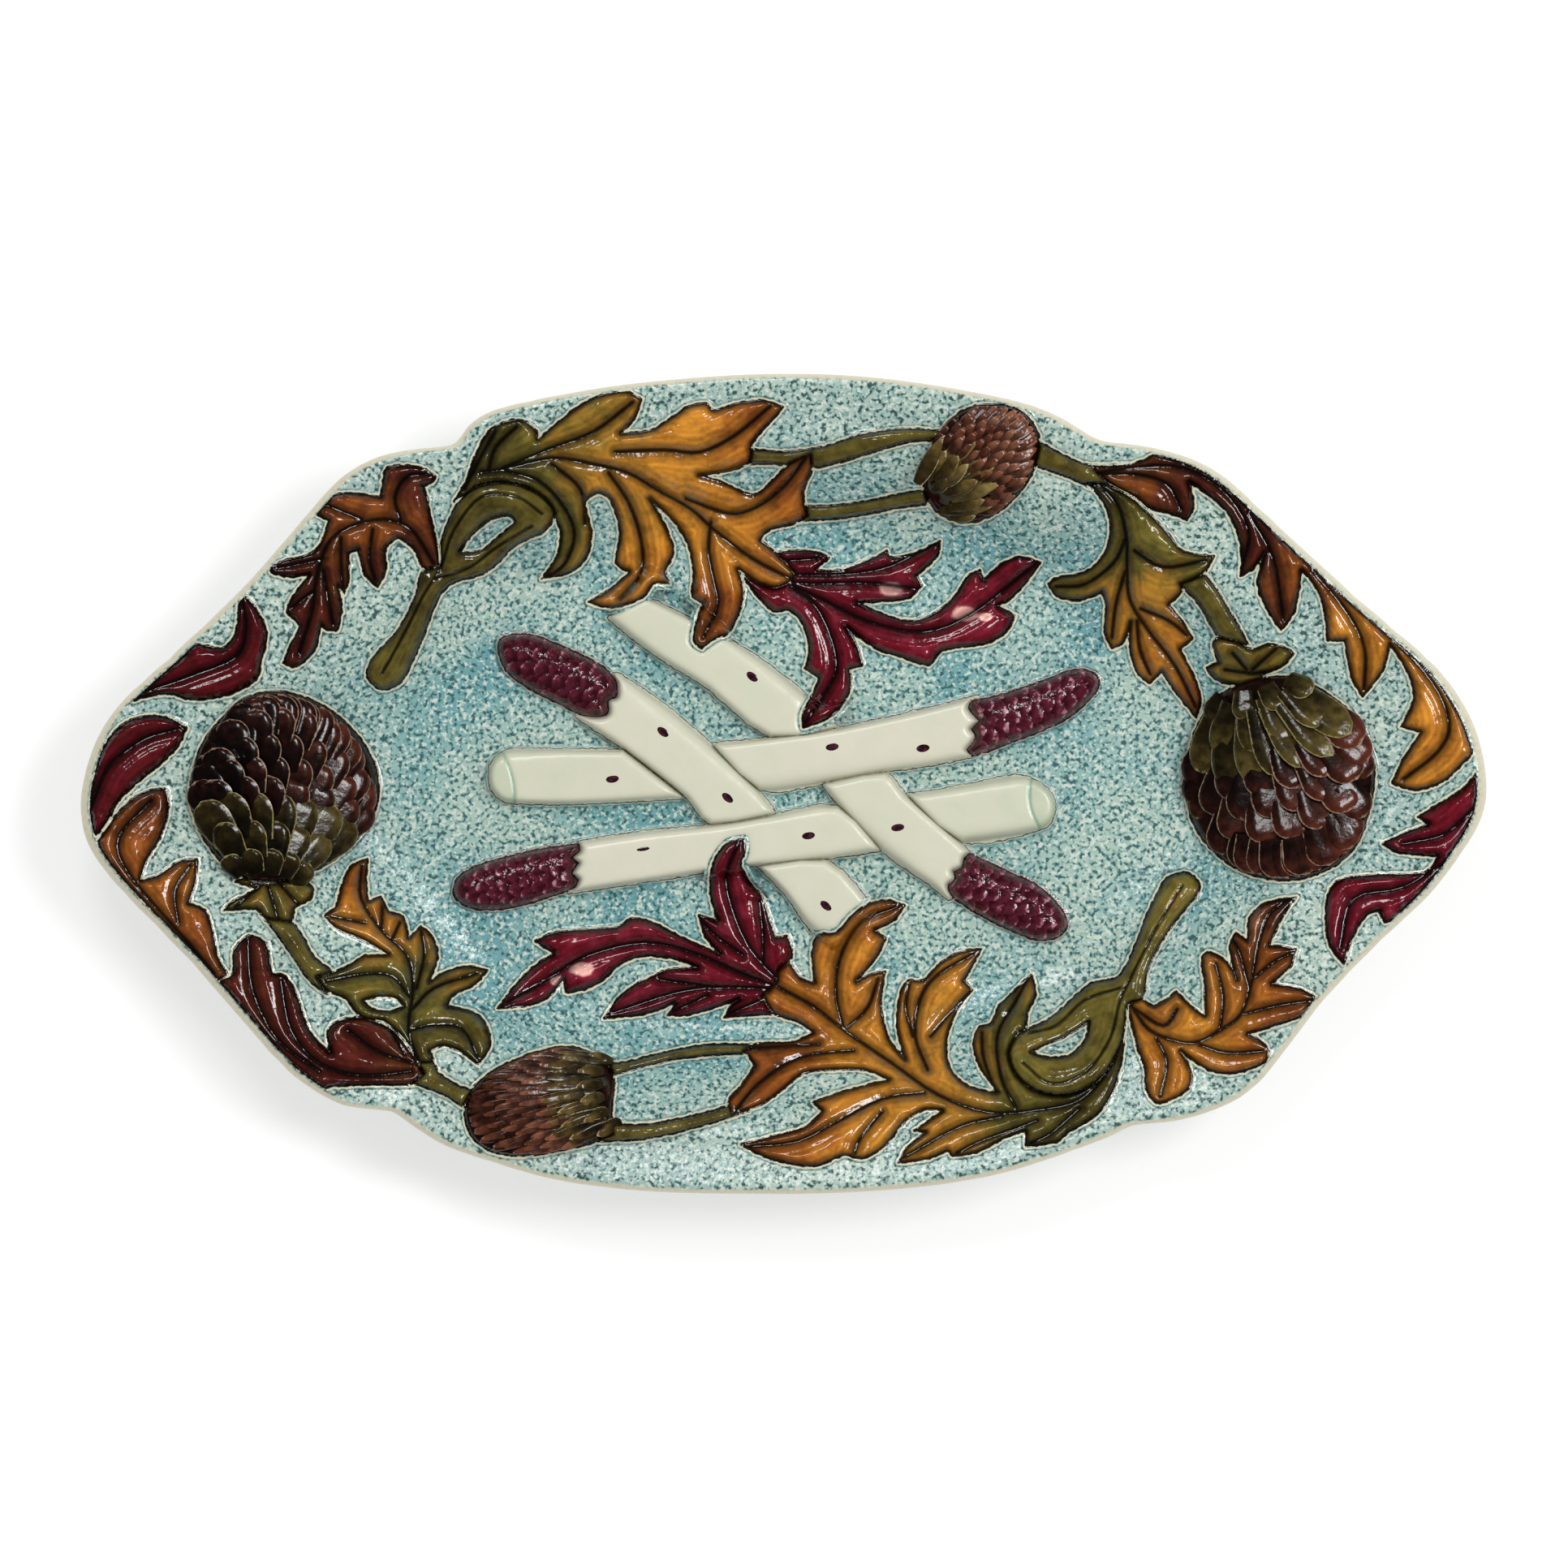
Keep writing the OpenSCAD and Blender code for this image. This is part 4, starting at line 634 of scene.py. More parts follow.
def tip_scales(which):
    # How far each point is up the scale that it lies on: one at the scale's own tip
    centre, side, half = spear_axis[which]
    own = cad_points("tip_" + which)[:, :2]
    along = np.array([side[1], -side[0]])
    if (own.mean(0) - centre) @ along < 0:
        along = -along
    reach = (own - centre) @ along
    start, end = reach.min(), reach.max()
    long, wide, rows = 7.0, 0.29 * half, 12

    def up(x, y):
        a = (x - centre[0]) * along[0] + (y - centre[1]) * along[1]
        b = (x - centre[0]) * side[0] + (y - centre[1]) * side[1]
        best = np.zeros(x.shape)
        for k in range(rows):
            tip = start + 3.0 + (end - start - 3.0) * k / (rows - 1)
            for column in range(-3, 4):
                off = np.abs(b - (column + 0.5 * (k % 2)) * wide * 1.5)
                back = (tip - a) / long
                shape = wide * 1.15 * np.sqrt(np.clip(back / 0.55, 0, 1))
                here = (back > 0) & (back < 1) & (off < shape)
                best = np.maximum(best, np.where(here, 1 - back, 0))
        return best
    return up


def tip_height(which):
    back, up = spear_back(which), tip_scales(which)

    def height(depth, vein, x, y):
        round_end = np.sqrt(np.clip(1 - (1 - np.clip(depth / 6.5, 0, 1)) ** 2, 0, 1))
        full = np.minimum(back(x, y), SPEAR_RISE * round_end)
        return full * 0.94 + 0.65 * up(x, y) * np.clip(depth / 1.2, 0, 1)
    return height


for which in SPEARS:
    node = "tip_" + which
    up = tip_scales(which)
    lighter = {"top_left": 0.0, "top_right": 0.06}.get(which, 0.03)
    # Painted shade and glints: each scale's colour runs from dark at its root to pink at its tip
    obj = motif(node, plan_loops(node), tip_height(which),
                tones=lambda x, y: 0.55 * up(x, y) + lighter)
    seat(obj, tip_glaze, node)


# Spear marks
# Small dark oval scars along the spears, where the real plant has its scale leaves. They are
# dabs of glaze, repeated with Geometry Nodes on the moulded spears.
# Dark purple glaze
mark_glaze = bpy.data.materials.new("dark purple glaze")
tree = nodes_of(mark_glaze)
glazed(tree, ramp(tree, noise(tree, object_mm(tree), 1.5), [(0.4, "#1D0912"), (0.65, "#45202B")]),
       0.08)


# CAD points nearer to each other than this belong to one mark
MARK_GAP = 6.0
MARK_LONG, MARK_WIDE, MARK_NARROW, MARK_HIGH = 5.2, 2.9, 1.5, 1.2


def scattered(name, places, part, material):
    # One copy of part at every point of places, turned and sized by the points' own values
    host = bpy.data.meshes.new(name)
    host.vertices.add(len(places))
    host.vertices.foreach_set("co", (np.array([p[0] for p in places]) * MM).ravel())
    for key, column in (("turn", 1), ("size", 2)):
        layer = host.attributes.new(key, "FLOAT_VECTOR", "POINT")
        layer.data.foreach_set("vector", np.array([p[column] for p in places], float).ravel())
    layer = host.attributes.new("tone", "FLOAT", "POINT")
    layer.data.foreach_set("value", np.array([p[3] for p in places], float))
    obj = bpy.data.objects.new(name, host)
    bpy.context.scene.collection.objects.link(obj)
    group = bpy.data.node_groups.new(name, "GeometryNodeTree")
    for socket, way, kind in (("Geometry", "INPUT", "NodeSocketGeometry"),
                              ("Part", "INPUT", "NodeSocketObject"),
                              ("Material", "INPUT", "NodeSocketMaterial"),
                              ("Geometry", "OUTPUT", "NodeSocketGeometry")):
        group.interface.new_socket(socket, in_out=way, socket_type=kind)
    source = group.nodes.new("NodeGroupInput")
    result = group.nodes.new("NodeGroupOutput")
    values = {}
    for key in ("turn", "size"):
        node = group.nodes.new("GeometryNodeInputNamedAttribute")
        node.data_type = "FLOAT_VECTOR"
        node.inputs["Name"].default_value = key
        values[key] = node.outputs["Attribute"]
    info = group.nodes.new("GeometryNodeObjectInfo")
    points = group.nodes.new("GeometryNodeMeshToPoints")
    copies = group.nodes.new("GeometryNodeInstanceOnPoints")
    real = group.nodes.new("GeometryNodeRealizeInstances")
    paint = group.nodes.new("GeometryNodeSetMaterial")
    joins = (
        (source.outputs["Geometry"], points.inputs["Mesh"]),
        (source.outputs["Part"], info.inputs["Object"]),
        (points.outputs["Points"], copies.inputs["Points"]),
        (info.outputs["Geometry"], copies.inputs["Instance"]),
        (values["turn"], copies.inputs["Rotation"]),
        (values["size"], copies.inputs["Scale"]),
        (copies.outputs["Instances"], real.inputs["Geometry"]),
        (real.outputs["Geometry"], paint.inputs["Geometry"]),
        (source.outputs["Material"], paint.inputs["Material"]),
        (paint.outputs["Geometry"], result.inputs["Geometry"]),
    )
    for one, two in joins:
        group.links.new(one, two)
    modifier = obj.modifiers.new("copies", "NODES")
    modifier.node_group = group
    sockets = {item.name: item.identifier for item in group.interface.items_tree
               if item.in_out == "INPUT"}
    modifier[sockets["Part"]] = part
    modifier[sockets["Material"]] = material
    bpy.context.view_layer.update()
    evaluated = obj.evaluated_get(bpy.context.evaluated_depsgraph_get())
    mesh = bpy.data.meshes.new_from_object(evaluated)
    obj.modifiers.clear()
    obj.data = mesh
    return obj


def oval_part():
    # A low round dab, one unit wide
    rings, around = 5, 16
    points = [(0.0, 0.0, 0.5)]
    for r in range(1, rings + 1):
        lean = r / rings * math.pi / 2
        for k in range(around):
            turn = 2 * math.pi * k / around
            points.append((math.sin(lean) * math.cos(turn), math.sin(lean) * math.sin(turn),
                           0.5 * math.cos(lean)))
    faces = [(0, 1 + k, 1 + (k + 1) % around) for k in range(around)]
    for r in range(rings - 1):
        a = 1 + r * around
        for k in range(around):
            n = (k + 1) % around
            faces.append((a + k, a + around + k, a + around + n))
            faces.append((a + k, a + around + n, a + n))
    return new_mesh("mark", np.array(points) * 0.5 / MM, faces)


mark = oval_part()
mark_points = cad_points("spear_marks")[:, :2]
heaps = []
for p in mark_points:
    near = [h for h in heaps if np.linalg.norm(h[0] - p) < MARK_GAP]
    if near:
        near[0].append(p)
    else:
        heaps.append([p])
places = []
for heap in heaps:
    spot = np.mean(heap, 0)
    gaps = []
    for which in SPEARS:
        centre, side, half = spear_axis[which]
        gaps.append((abs((spot - centre) @ side), which))
    centre, side, half = spear_axis[min(gaps)[1]]
    narrow = spot[0] < -0.15 * HALF_L and spot[1] < 0
    turn = math.atan2(side[1], side[0]) + math.pi / 2
    height = FLOOR_Z + spear_back(min(gaps)[1])(spot[0], spot[1]) + 0.2
    size = np.array((MARK_LONG, MARK_NARROW if narrow else MARK_WIDE, MARK_HIGH)) * MM
    places.append(((spot[0], spot[1], height), (0, 0, turn), size, 0.5))
seat(scattered("spear_marks", places, mark, mark_glaze), None, "spear_marks")


# Artichokes
# Two artichoke heads that lie on the wall of the dish at either end: a moulded dome covered
# in rounded scales that overlap from the stem to the crown, with green sepals at the stem.
# Steps of angle in a head's outline, and points each way in the grid laid over it
BINS = 96
HEAD_GRID = 90
SCALE_THICK = 1.9
# A scale's root lies this share of its lift above the dome, and its back leans outwards by this
ROOT_LIFT = 0.35
LEAN_OUT = 0.35


def round_outline(nodes):
    # The outer outline of some nodes, taken in even steps of angle round their middle
    points = np.concatenate([cad_points(n)[:, :2] for n in nodes])
    heart = (points.min(0) + points.max(0)) / 2
    far = np.zeros(BINS)
    for n in nodes:
        own, triangles = cad_points(n)[:, :2], cad_triangles(n)
        for k in range(3):
            a, b = own[triangles[:, k]], own[triangles[:, (k + 1) % 3]]
            for u in np.linspace(0, 1, 16):
                away = a + (b - a) * u - heart
                turn = np.arctan2(away[:, 1], away[:, 0]) % (2 * math.pi)
                np.maximum.at(far, (turn / (2 * math.pi) * BINS).astype(int) % BINS,
                              np.hypot(away[:, 0], away[:, 1]))
    far = sum(np.roll(far, k) for k in range(-3, 4)) / 7
    turn = (np.arange(BINS) + 0.5) * 2 * math.pi / BINS
    return np.stack([np.cos(turn), np.sin(turn)], 1) * far[:, None] + heart


def dome(rise):
    def height(depth, vein, x, y):
        wide = depth.max()
        return rise * np.sqrt(np.clip(1 - (1 - depth / wide) ** 2, 0, 1))
    return height


def scale_part(name, pointed):
    # One scale, root at the origin and tip at x = 1, half a unit to either side
    along, across = 13, 11
    points, rim, up = [], [], []
    for r in range(along):
        v = r / (along - 1)
        if pointed:
            half = 0.5 * (1 - abs(2 * v - 0.8) ** 2.0 / 1.44) ** 0.9 if v < 1 else 0.0
        else:
            half = 0.5 * (0.8 + 0.2 * min(1, v / 0.5))
            half *= math.sqrt(max(0.0, 1 - max(0.0, (v - 0.55) / 0.45) ** 2))
        for c in range(across):
            u = 2 * c / (across - 1) - 1
            edge = min(1 - abs(u), (1 - v) * 2.2)
            swell = 1 - (1 - min(1.0, edge / 0.55)) ** 2
            points.append((v, u * half, 0.75 * swell - 0.2 - 0.1 * v * v))
            rim.append(min((1 - abs(u)) * half * 2, (1 - v)))
            up.append(v)
    faces = []
    for r in range(along - 1):
        for c in range(across - 1):
            a = r * across + c
            faces.append((a, a + across, a + across + 1, a + 1))
    return new_mesh(name, np.array(points) / MM, faces, {"rim": rim, "up": up})


def scaled(tree, color, level):
    return add(tree, "ShaderNodeVectorMath", {"operation": "SCALE"}, i0=color, Scale=level).outputs[0]


def scale_glaze(name, stops, rim_code):
    # Painted shade and light: each scale is darker at its root, under the scale before it, and lighter
    # towards its tip, with glaze pooled between the scales; the glaze runs thin and pale on their rims
    material = bpy.data.materials.new(name)
    tree = nodes_of(material)
    place = object_mm(tree)
    cloud = toned(tree, place, 3.0, 3.0, 0.7)
    rim = add(tree, "ShaderNodeAttribute", {"attribute_name": "rim"}).outputs["Fac"]
    up = add(tree, "ShaderNodeAttribute", {"attribute_name": "up"}).outputs["Fac"]
    # Painted shade at the root and painted light towards the tip of each scale
    lit = add(tree, "ShaderNodeMapRange", Value=up, From_Min=0.35, From_Max=0.9, To_Min=0.25,
              To_Max=1.15).outputs["Result"]
    color = scaled(tree, ramp(tree, cloud, stops), lit)
    shaken = add(tree, "ShaderNodeMath", {"operation": "MULTIPLY_ADD"},
                 i0=noise(tree, place, 1.3), i1=0.16, i2=rim).outputs[0]
    color = mixed(tree, step_between(tree, shaken, 0.08, 0.16), linear(rim_code), color)
    glazed(tree, color, 0.20, bumped(tree, noise(tree, place, 1.8), 0.12))
    tree.nodes["Principled BSDF"].inputs["Specular IOR Level"].default_value = 0.4
    return material


# Dark red-brown glaze with thin pale rims, for the artichokes
brown_scales = scale_glaze("dark red-brown glaze",
                           [(0.30, "#0C0302"), (0.55, "#260D08"), (0.85, "#522417")], "#957A67")
# Olive glaze with thin pale yellow rims, for their sepals
green_scales = scale_glaze("olive green glaze",
                           [(0.30, "#120D03"), (0.55, "#30260C"), (0.85, "#5C4E24")], "#877C50")
# The same two glazes run thinner and lighter on the buds
bud_brown = scale_glaze("thin red-brown glaze",
                        [(0.30, "#2A110A"), (0.55, "#5C3020"), (0.85, "#8C5B42")], "#B0917A")
bud_green = scale_glaze("thin olive glaze",
                        [(0.30, "#2A1D08"), (0.55, "#5A481F"), (0.85, "#8A7744")], "#AEA078")
# The dome under the scales, in the same dark brown
dome_glaze = bpy.data.materials.new("brown glaze under the scales")
tree = nodes_of(dome_glaze)
place = object_mm(tree)
color = ramp(tree, noise(tree, place, 2.0), [(0.35, "#0B0302"), (0.65, "#1E0B07")])
glazed(tree, glaze_lines(tree, color, place), 0.10)
round_scale = scale_part("round scale", False)
long_scale = scale_part("pointed scale", True)


def head(node, ends, rise, rows, sepal_rows, part, glazes, spread=1.0, tone=0.0,
         sepal_tone=0.0):
    # rows holds [share of the way to the crown, sag at the sides, count, width, length, lift]:
    # scale tips lie on arcs right across the head and point away from the stem
    outline = [rounded(round_outline([node, node + "_sepals"]), sharp=60.0, parts=2)]
    seat(motif(node, outline, dome(rise)), dome_glaze, node)
    stem, crown = in_mm(ends)
    full = np.linalg.norm(crown - stem)
    axis = (crown - stem) / full
    across = np.array([-axis[1], axis[0]])
    x, y = np.meshgrid(np.linspace(-1, 1, HEAD_GRID), np.linspace(-1, 1, HEAD_GRID))
    heart = outline[0].mean(0)
    grid = depth_in(x * full + heart[0], y * full + heart[1], outline)
    wide = grid.max()

    def surface(p):
        # The height of the dome over p, and how far p lies inside the outline
        spot = (np.asarray(p) - heart + full) / (2 * full) * (len(grid) - 1)
        c, r = (int(v) for v in np.clip(spot, 0, len(grid) - 2))
        u, v = spot[0] - c, spot[1] - r
        depth = ((grid[r, c] * (1 - u) + grid[r, c + 1] * u) * (1 - v)
                 + (grid[r + 1, c] * (1 - u) + grid[r + 1, c + 1] * u) * v)
        over = rise * math.sqrt(max(0, 1 - (1 - max(0.0, depth) / wide) ** 2))
        return float(ground_z(p[0], p[1])) + over, depth

    random = np.random.default_rng(7)
    for kind, table, glaze, slot in (("_scales", rows, glazes[0], None),
                                     ("_sepals", sepal_rows, glazes[1], "stem_green")):
        places = []
        for row, (way, sag, count, width, length, lift) in enumerate(table):
            on_axis = stem + axis * full * way
            reach = {}
            for hand in (-1, 1):
                reach[hand] = 0.0
                end = on_axis - axis * full * sag
                inside = 0.15 * width
                while reach[hand] < full and surface(end + across * hand * reach[hand])[1] > inside:
                    reach[hand] += 0.5
            for k in range(count - row % 2):
                place = (k + 0.5 * (row % 2)) / (count - 1) * 2 - 1
                off = place * reach[1 if place > 0 else -1]
                drop = sag * (1 - math.sqrt(1 - place ** 2))
                tip = on_axis + across * off - axis * full * drop
                while surface(tip)[1] < (0.25 * width if slot else 0.2):
                    tip = tip + (heart - tip) * 0.02
                ahead = (tip - stem) @ axis + 0.12 * full
                fan = spread * math.atan2(off, max(ahead, 0.5)) + random.uniform(-0.04, 0.04)
                along = axis * math.cos(fan) + across * math.sin(fan)
                root = tip - along * length
                root_z, root_depth = surface(root)
                tip_z, _ = surface(tip)
                if root_depth < 0.5:
                    root_z = max(root_z, tip_z - rise * 0.6)
                run = np.array([*(tip - root), tip_z + lift - root_z - lift * ROOT_LIFT])
                run /= np.linalg.norm(run)
                side = np.cross([0, 0, 1], run)
                side /= np.linalg.norm(side)
                out = np.cross(run, side)
                lean = (tip - heart) / (np.linalg.norm(tip - heart) + 1)
                out = out + LEAN_OUT * np.array([lean[0], lean[1], 0]) @ side * side
                side = np.cross(out, run)
                side /= np.linalg.norm(side)
                out = np.cross(run, side)
                turn = Matrix((run, side, out)).transposed().to_euler()
                size = np.array((length, width, SCALE_THICK)) * MM
                spot = (root[0], root[1], root_z + lift * ROOT_LIFT)
                # Painted light: the scales are lighter towards the right of the head, where the light
                # falls, and darker to the left, where the glaze also pools
                lighter = tone + 0.20 * (tip[0] - heart[0]) / (full / 2)
                lighter += sepal_tone if slot else 0
                places.append((spot, tuple(turn), size, lighter + random.uniform(0.05, 0.30)))
        obj = scattered(node + kind, places, part, glaze)
        seat(obj, None, node + "_sepals" if slot else None)


head("artichoke_left", [(-0.733, -0.245), (-0.700, 0.228)], 9.0,
     [(1.24, 0.62, 12, 9.5, 11, 0.7), (1.02, 0.42, 9, 11.0, 12, 1.0),
      (0.92, 0.34, 8, 11.0, 12, 1.3), (0.79, 0.27, 8, 11.0, 12, 1.6),
      (0.67, 0.19, 8, 11.0, 12, 2.0), (0.56, 0.14, 7, 11.0, 12, 2.4)],
     [(0.475, 0.10, 7, 11.5, 15, 3.3), (0.33, 0.10, 6, 9.5, 12, 3.8),
      (0.19, 0.08, 5, 7.5, 8, 4.0)], round_scale, (brown_scales, green_scales))
head("artichoke_right", [(0.668, 0.262), (0.745, -0.232)], 9.0,
     [(1.22, 0.62, 12, 9.5, 11, 0.7), (0.98, 0.38, 8, 11.5, 12, 1.2),
      (0.81, 0.28, 7, 12.0, 13, 1.6), (0.69, 0.20, 7, 12.5, 14, 2.0),
      (0.58, 0.14, 6, 12.5, 14, 2.4)],
     [(0.50, 0.12, 7, 11.5, 22, 3.0), (0.36, 0.12, 5, 10.0, 16, 3.5),
      (0.20, 0.06, 4, 8.0, 9, 3.8)], round_scale, (brown_scales, green_scales), tone=0.10)


# Flower buds
# Two smaller buds, one on each long side of the rim: a dome of slender brown scales that
# point to the crown, held by long pointed sepals from the stem.
head("bud_top", [(0.202, 0.705), (0.356, 0.898)], 5.5,
     [(1.14, 0.60, 13, 3.6, 7, 0.5), (1.00, 0.50, 12, 3.6, 7, 0.6),
      (0.90, 0.36, 10, 3.6, 7, 0.7), (0.83, 0.33, 10, 3.6, 7, 0.9),
      (0.76, 0.30, 10, 3.6, 7, 1.1), (0.69, 0.26, 10, 3.6, 7, 1.3),
      (0.62, 0.22, 9, 3.8, 7, 1.5), (0.54, 0.18, 9, 3.8, 7, 1.7)],
     [(0.60, 0.22, 7, 5.2, 17, 2.6), (0.44, 0.18, 6, 5.0, 12, 3.1),
      (0.27, 0.05, 3, 4.2, 8, 3.2)],
     long_scale, (bud_brown, bud_green), spread=0.8, sepal_tone=0.06)
head("bud_bottom", [(-0.243, -0.745), (-0.452, -0.800)], 5.5,
     [(1.16, 0.60, 13, 3.4, 9, 0.5), (1.00, 0.46, 12, 3.4, 10, 0.6),
      (0.90, 0.28, 10, 3.2, 10, 0.7), (0.82, 0.26, 10, 3.2, 10, 0.9),
      (0.74, 0.22, 10, 3.4, 10, 1.2), (0.65, 0.18, 10, 3.4, 10, 1.5),
      (0.56, 0.14, 9, 3.6, 10, 1.8)],
     [(0.55, 0.16, 9, 4.4, 17, 2.2), (0.42, 0.14, 8, 4.4, 13, 2.6),
      (0.28, 0.12, 6, 4.4, 9, 2.8)],
     long_scale, (bud_brown, bud_green), spread=0.5, tone=0.10, sepal_tone=-0.22)


# Collars
# A small ruff of narrow leaflets where each artichoke joins its stem, moulded with the dish.
# They are glazed like all the leaves that follow.
def creased(tree, color):
    # Darker in the veins and along the foot of each edge, partly glaze pooled there and partly
    # painted shade in the grooves; fine light and dark streaks beside the veins are painted shading of
    # ribs
    vein = add(tree, "ShaderNodeAttribute", {"attribute_name": "vein"}).outputs["Fac"]
    depth = add(tree, "ShaderNodeAttribute", {"attribute_name": "depth"}).outputs["Fac"]
    open_face = product(tree, step_between(tree, vein, 0.1, 0.9),
                        step_between(tree, depth, 0.0, 1.1))
    soft = add(tree, "ShaderNodeMapRange", Value=open_face, To_Min=0.12, To_Max=1.0)
    bend = noise(tree, object_mm(tree), 5.0)
    beside = add(tree, "ShaderNodeMath", {"operation": "MULTIPLY_ADD"}, i0=bend, i1=3.0, i2=vein)
    turn = product(tree, beside.outputs[0], 2 * math.pi / 1.9)
    wave = add(tree, "ShaderNodeMath", {"operation": "SINE"}, i0=turn).outputs[0]
    streak = add(tree, "ShaderNodeMapRange", Value=wave, From_Min=-1.0, To_Min=0.87, To_Max=1.05)
    return scaled(tree, color, product(tree, soft.outputs["Result"], streak.outputs["Result"]))


# Olive, amber, brown and burgundy lead glazes, one running into the next
leaf_glaze = bpy.data.materials.new("running lead glazes on the leaves")
tree = nodes_of(leaf_glaze)
place = object_mm(tree)
rise = add(tree, "ShaderNodeAttribute", {"attribute_name": "rise"}).outputs["Fac"]
run = toned(tree, place, 6.0, 3.0, 0.18)
run = add(tree, "ShaderNodeMath", {"operation": "ADD"}, i0=run, i1=-0.07).outputs[0]
# The pale pink at the top is mostly reached where painted highlights lift the burgundy
color = ramp(tree, run, [
    (0.00, "#1D1604"), (0.12, "#322A0E"), (0.26, "#5F5522"), (0.38, "#936822"),
    (0.48, "#AE7224"), (0.60, "#844818"), (0.70, "#4E2413"), (0.80, "#440C10"),
    (0.89, "#5E0B1A"), (0.95, "#762233"), (1.00, "#D9A298"),
])
pooled = step_between(tree, noise(tree, place, 4.0, 4.0, 0.65), 0.42, 0.68)
color = mixed(tree, product(tree, pooled, 0.50), color, scaled(tree, color, 0.30))
# Painted light and shade: brighter where the leaf stands high and darker where it lies low; partly
# thinner glaze on the high points, partly painted highlight on the ridges and painted shade in hollows
thin = add(tree, "ShaderNodeMapRange", Value=rise, From_Min=0.9, From_Max=2.9, To_Min=0.28,
           To_Max=1.50).outputs["Result"]
color = creased(tree, scaled(tree, color, thin))
glazed(tree, glaze_lines(tree, color, place), 0.14, bumped(tree, noise(tree, place, 3.0), 0.28))

LEAF_RISE = 2.6
# The width of a vein's groove, of the swelling of a lobe, and the pitch of the fine ribs on it
VEIN_WIDTH = 0.8
LOBE_WIDTH = 3.4
LEAF_RIB = 2.3


def leaf_height(depth, vein, x, y):
    # Puffed lobes between deep grooves, with a rounded edge
    edge = np.sin(np.clip(depth / 2.0, 0, 1) * math.pi / 2) ** 0.8
    groove = 0.34 * np.exp(-(vein / VEIN_WIDTH) ** 2)
    puff = 1 - np.exp(-(np.minimum(vein, depth * 1.5) / LOBE_WIDTH) ** 2)
    ribs = 0.05 * np.cos(vein * 2 * math.pi / LEAF_RIB) * np.clip(depth - 1.2, 0, 1)
    return LEAF_RISE * edge * (0.50 + 0.66 * puff - groove + ribs)


def over_spears(which):
    # A leaf's tip climbs over the spear that it lies on
    def base(x, y):
        z = np.zeros(x.shape)
        for spear in which:
            centre = spear_axis[spear][0]
            long = np.linalg.norm(cut_end[spear] - centre)
            within = np.clip((long - np.hypot(x - centre[0], y - centre[1])) / 4, 0, 1)
            z = np.maximum(z, spear_back(spear)(x, y) * within)
        return z
    return base


def leaf(node, veins, tones, over=(), wear_and_glints=()):
    # veins holds lines of [x, y], and tones the colour at [x, y, tone], in shares of the dish;
    # the last list holds [x, y, radius in mm] of painted highlights: pale pink spots painted as glints
    def tone(x, y):
        shade = blended(x, y, tones)
        # Painted highlights: each spot lifts the tone towards the pale pink at the top of the ramp
        for sx, sy, reach in wear_and_glints:
            away = np.hypot(x - sx * HALF_L, (y - sy * HALF_W) * 1.6)
            shade = shade + 0.22 * np.exp(-(away / reach) ** 2)
        return shade
    base = over_spears(over) if over else None
    seat(motif(node, plan_loops(node), leaf_height, veins, tone, base), leaf_glaze, node)


leaf("collar_left",
     [[(-0.735, -0.23), (-0.78, -0.30)], [(-0.735, -0.25), (-0.72, -0.33)],
      [(-0.72, -0.24), (-0.69, -0.30)], [(-0.74, -0.235), (-0.76, -0.245)]], [(-0.73, -0.27, 0.25)])
leaf("collar_right",
     [[(0.668, 0.27), (0.63, 0.28)], [(0.668, 0.28), (0.70, 0.33)], [(0.67, 0.27), (0.72, 0.28)],
      [(0.66, 0.28), (0.64, 0.32)]], [(0.67, 0.28, 0.26)])


# Stems
# Round olive stems that carry the heads, run in pairs beside the buds and end in two thick
# cut stalks. They are moulded with the dish and glazed like the leaves.
STEM_RISE = 3.4
STEM_GROOVE = 0.6
STEM_RIB = 1.3


def stem_height(depth, vein, x, y):
    # A round back with a groove along each vein and fine ribs
    wide = np.percentile(depth[depth > 0], 97)
    round_back = np.sqrt(np.clip(1 - (1 - np.clip(depth / wide, 0, 1)) ** 2, 0, 1))
    groove = 0.22 * np.exp(-(vein / STEM_GROOVE) ** 2)
    ribs = 0.05 * np.cos(depth * 2 * math.pi / STEM_RIB) * np.clip(depth - 0.6, 0, 1)
    return STEM_RISE * round_back * (1 - groove + ribs)


def stem(node, veins, tones):
    obj = motif(node, plan_loops(node), stem_height, veins, tones)
    seat(obj, leaf_glaze, node)


stem("stem_cut_left",
     [[(-0.575, 0.27), (-0.545, 0.36), (-0.515, 0.46), (-0.49, 0.53), (-0.47, 0.62),
       (-0.43, 0.70), (-0.38, 0.70), (-0.345, 0.66)],
      [(-0.50, 0.50), (-0.45, 0.53), (-0.41, 0.58), (-0.36, 0.63)]],
     [(-0.58, 0.28, 0.17), (-0.50, 0.5, 0.13), (-0.42, 0.7, 0.13), (-0.35, 0.65, 0.18)])
stem("stem_cut_right",
     [[(0.57, -0.25), (0.53, -0.36), (0.50, -0.46), (0.48, -0.53), (0.465, -0.62),
       (0.43, -0.70), (0.38, -0.73), (0.34, -0.68)],
      [(0.48, -0.50), (0.43, -0.53), (0.39, -0.59), (0.35, -0.61)]],
     [(0.57, -0.25, 0.24), (0.5, -0.46, 0.2), (0.43, -0.7, 0.16), (0.35, -0.65, 0.24)])
for node in ("stem_pair_top", "stem_pair_bottom", "stem_bud_top", "stem_bud_bottom",
             "stem_artichoke_left", "stem_artichoke_right"):
    stem(node, [], [(0, 0, 0.16)])


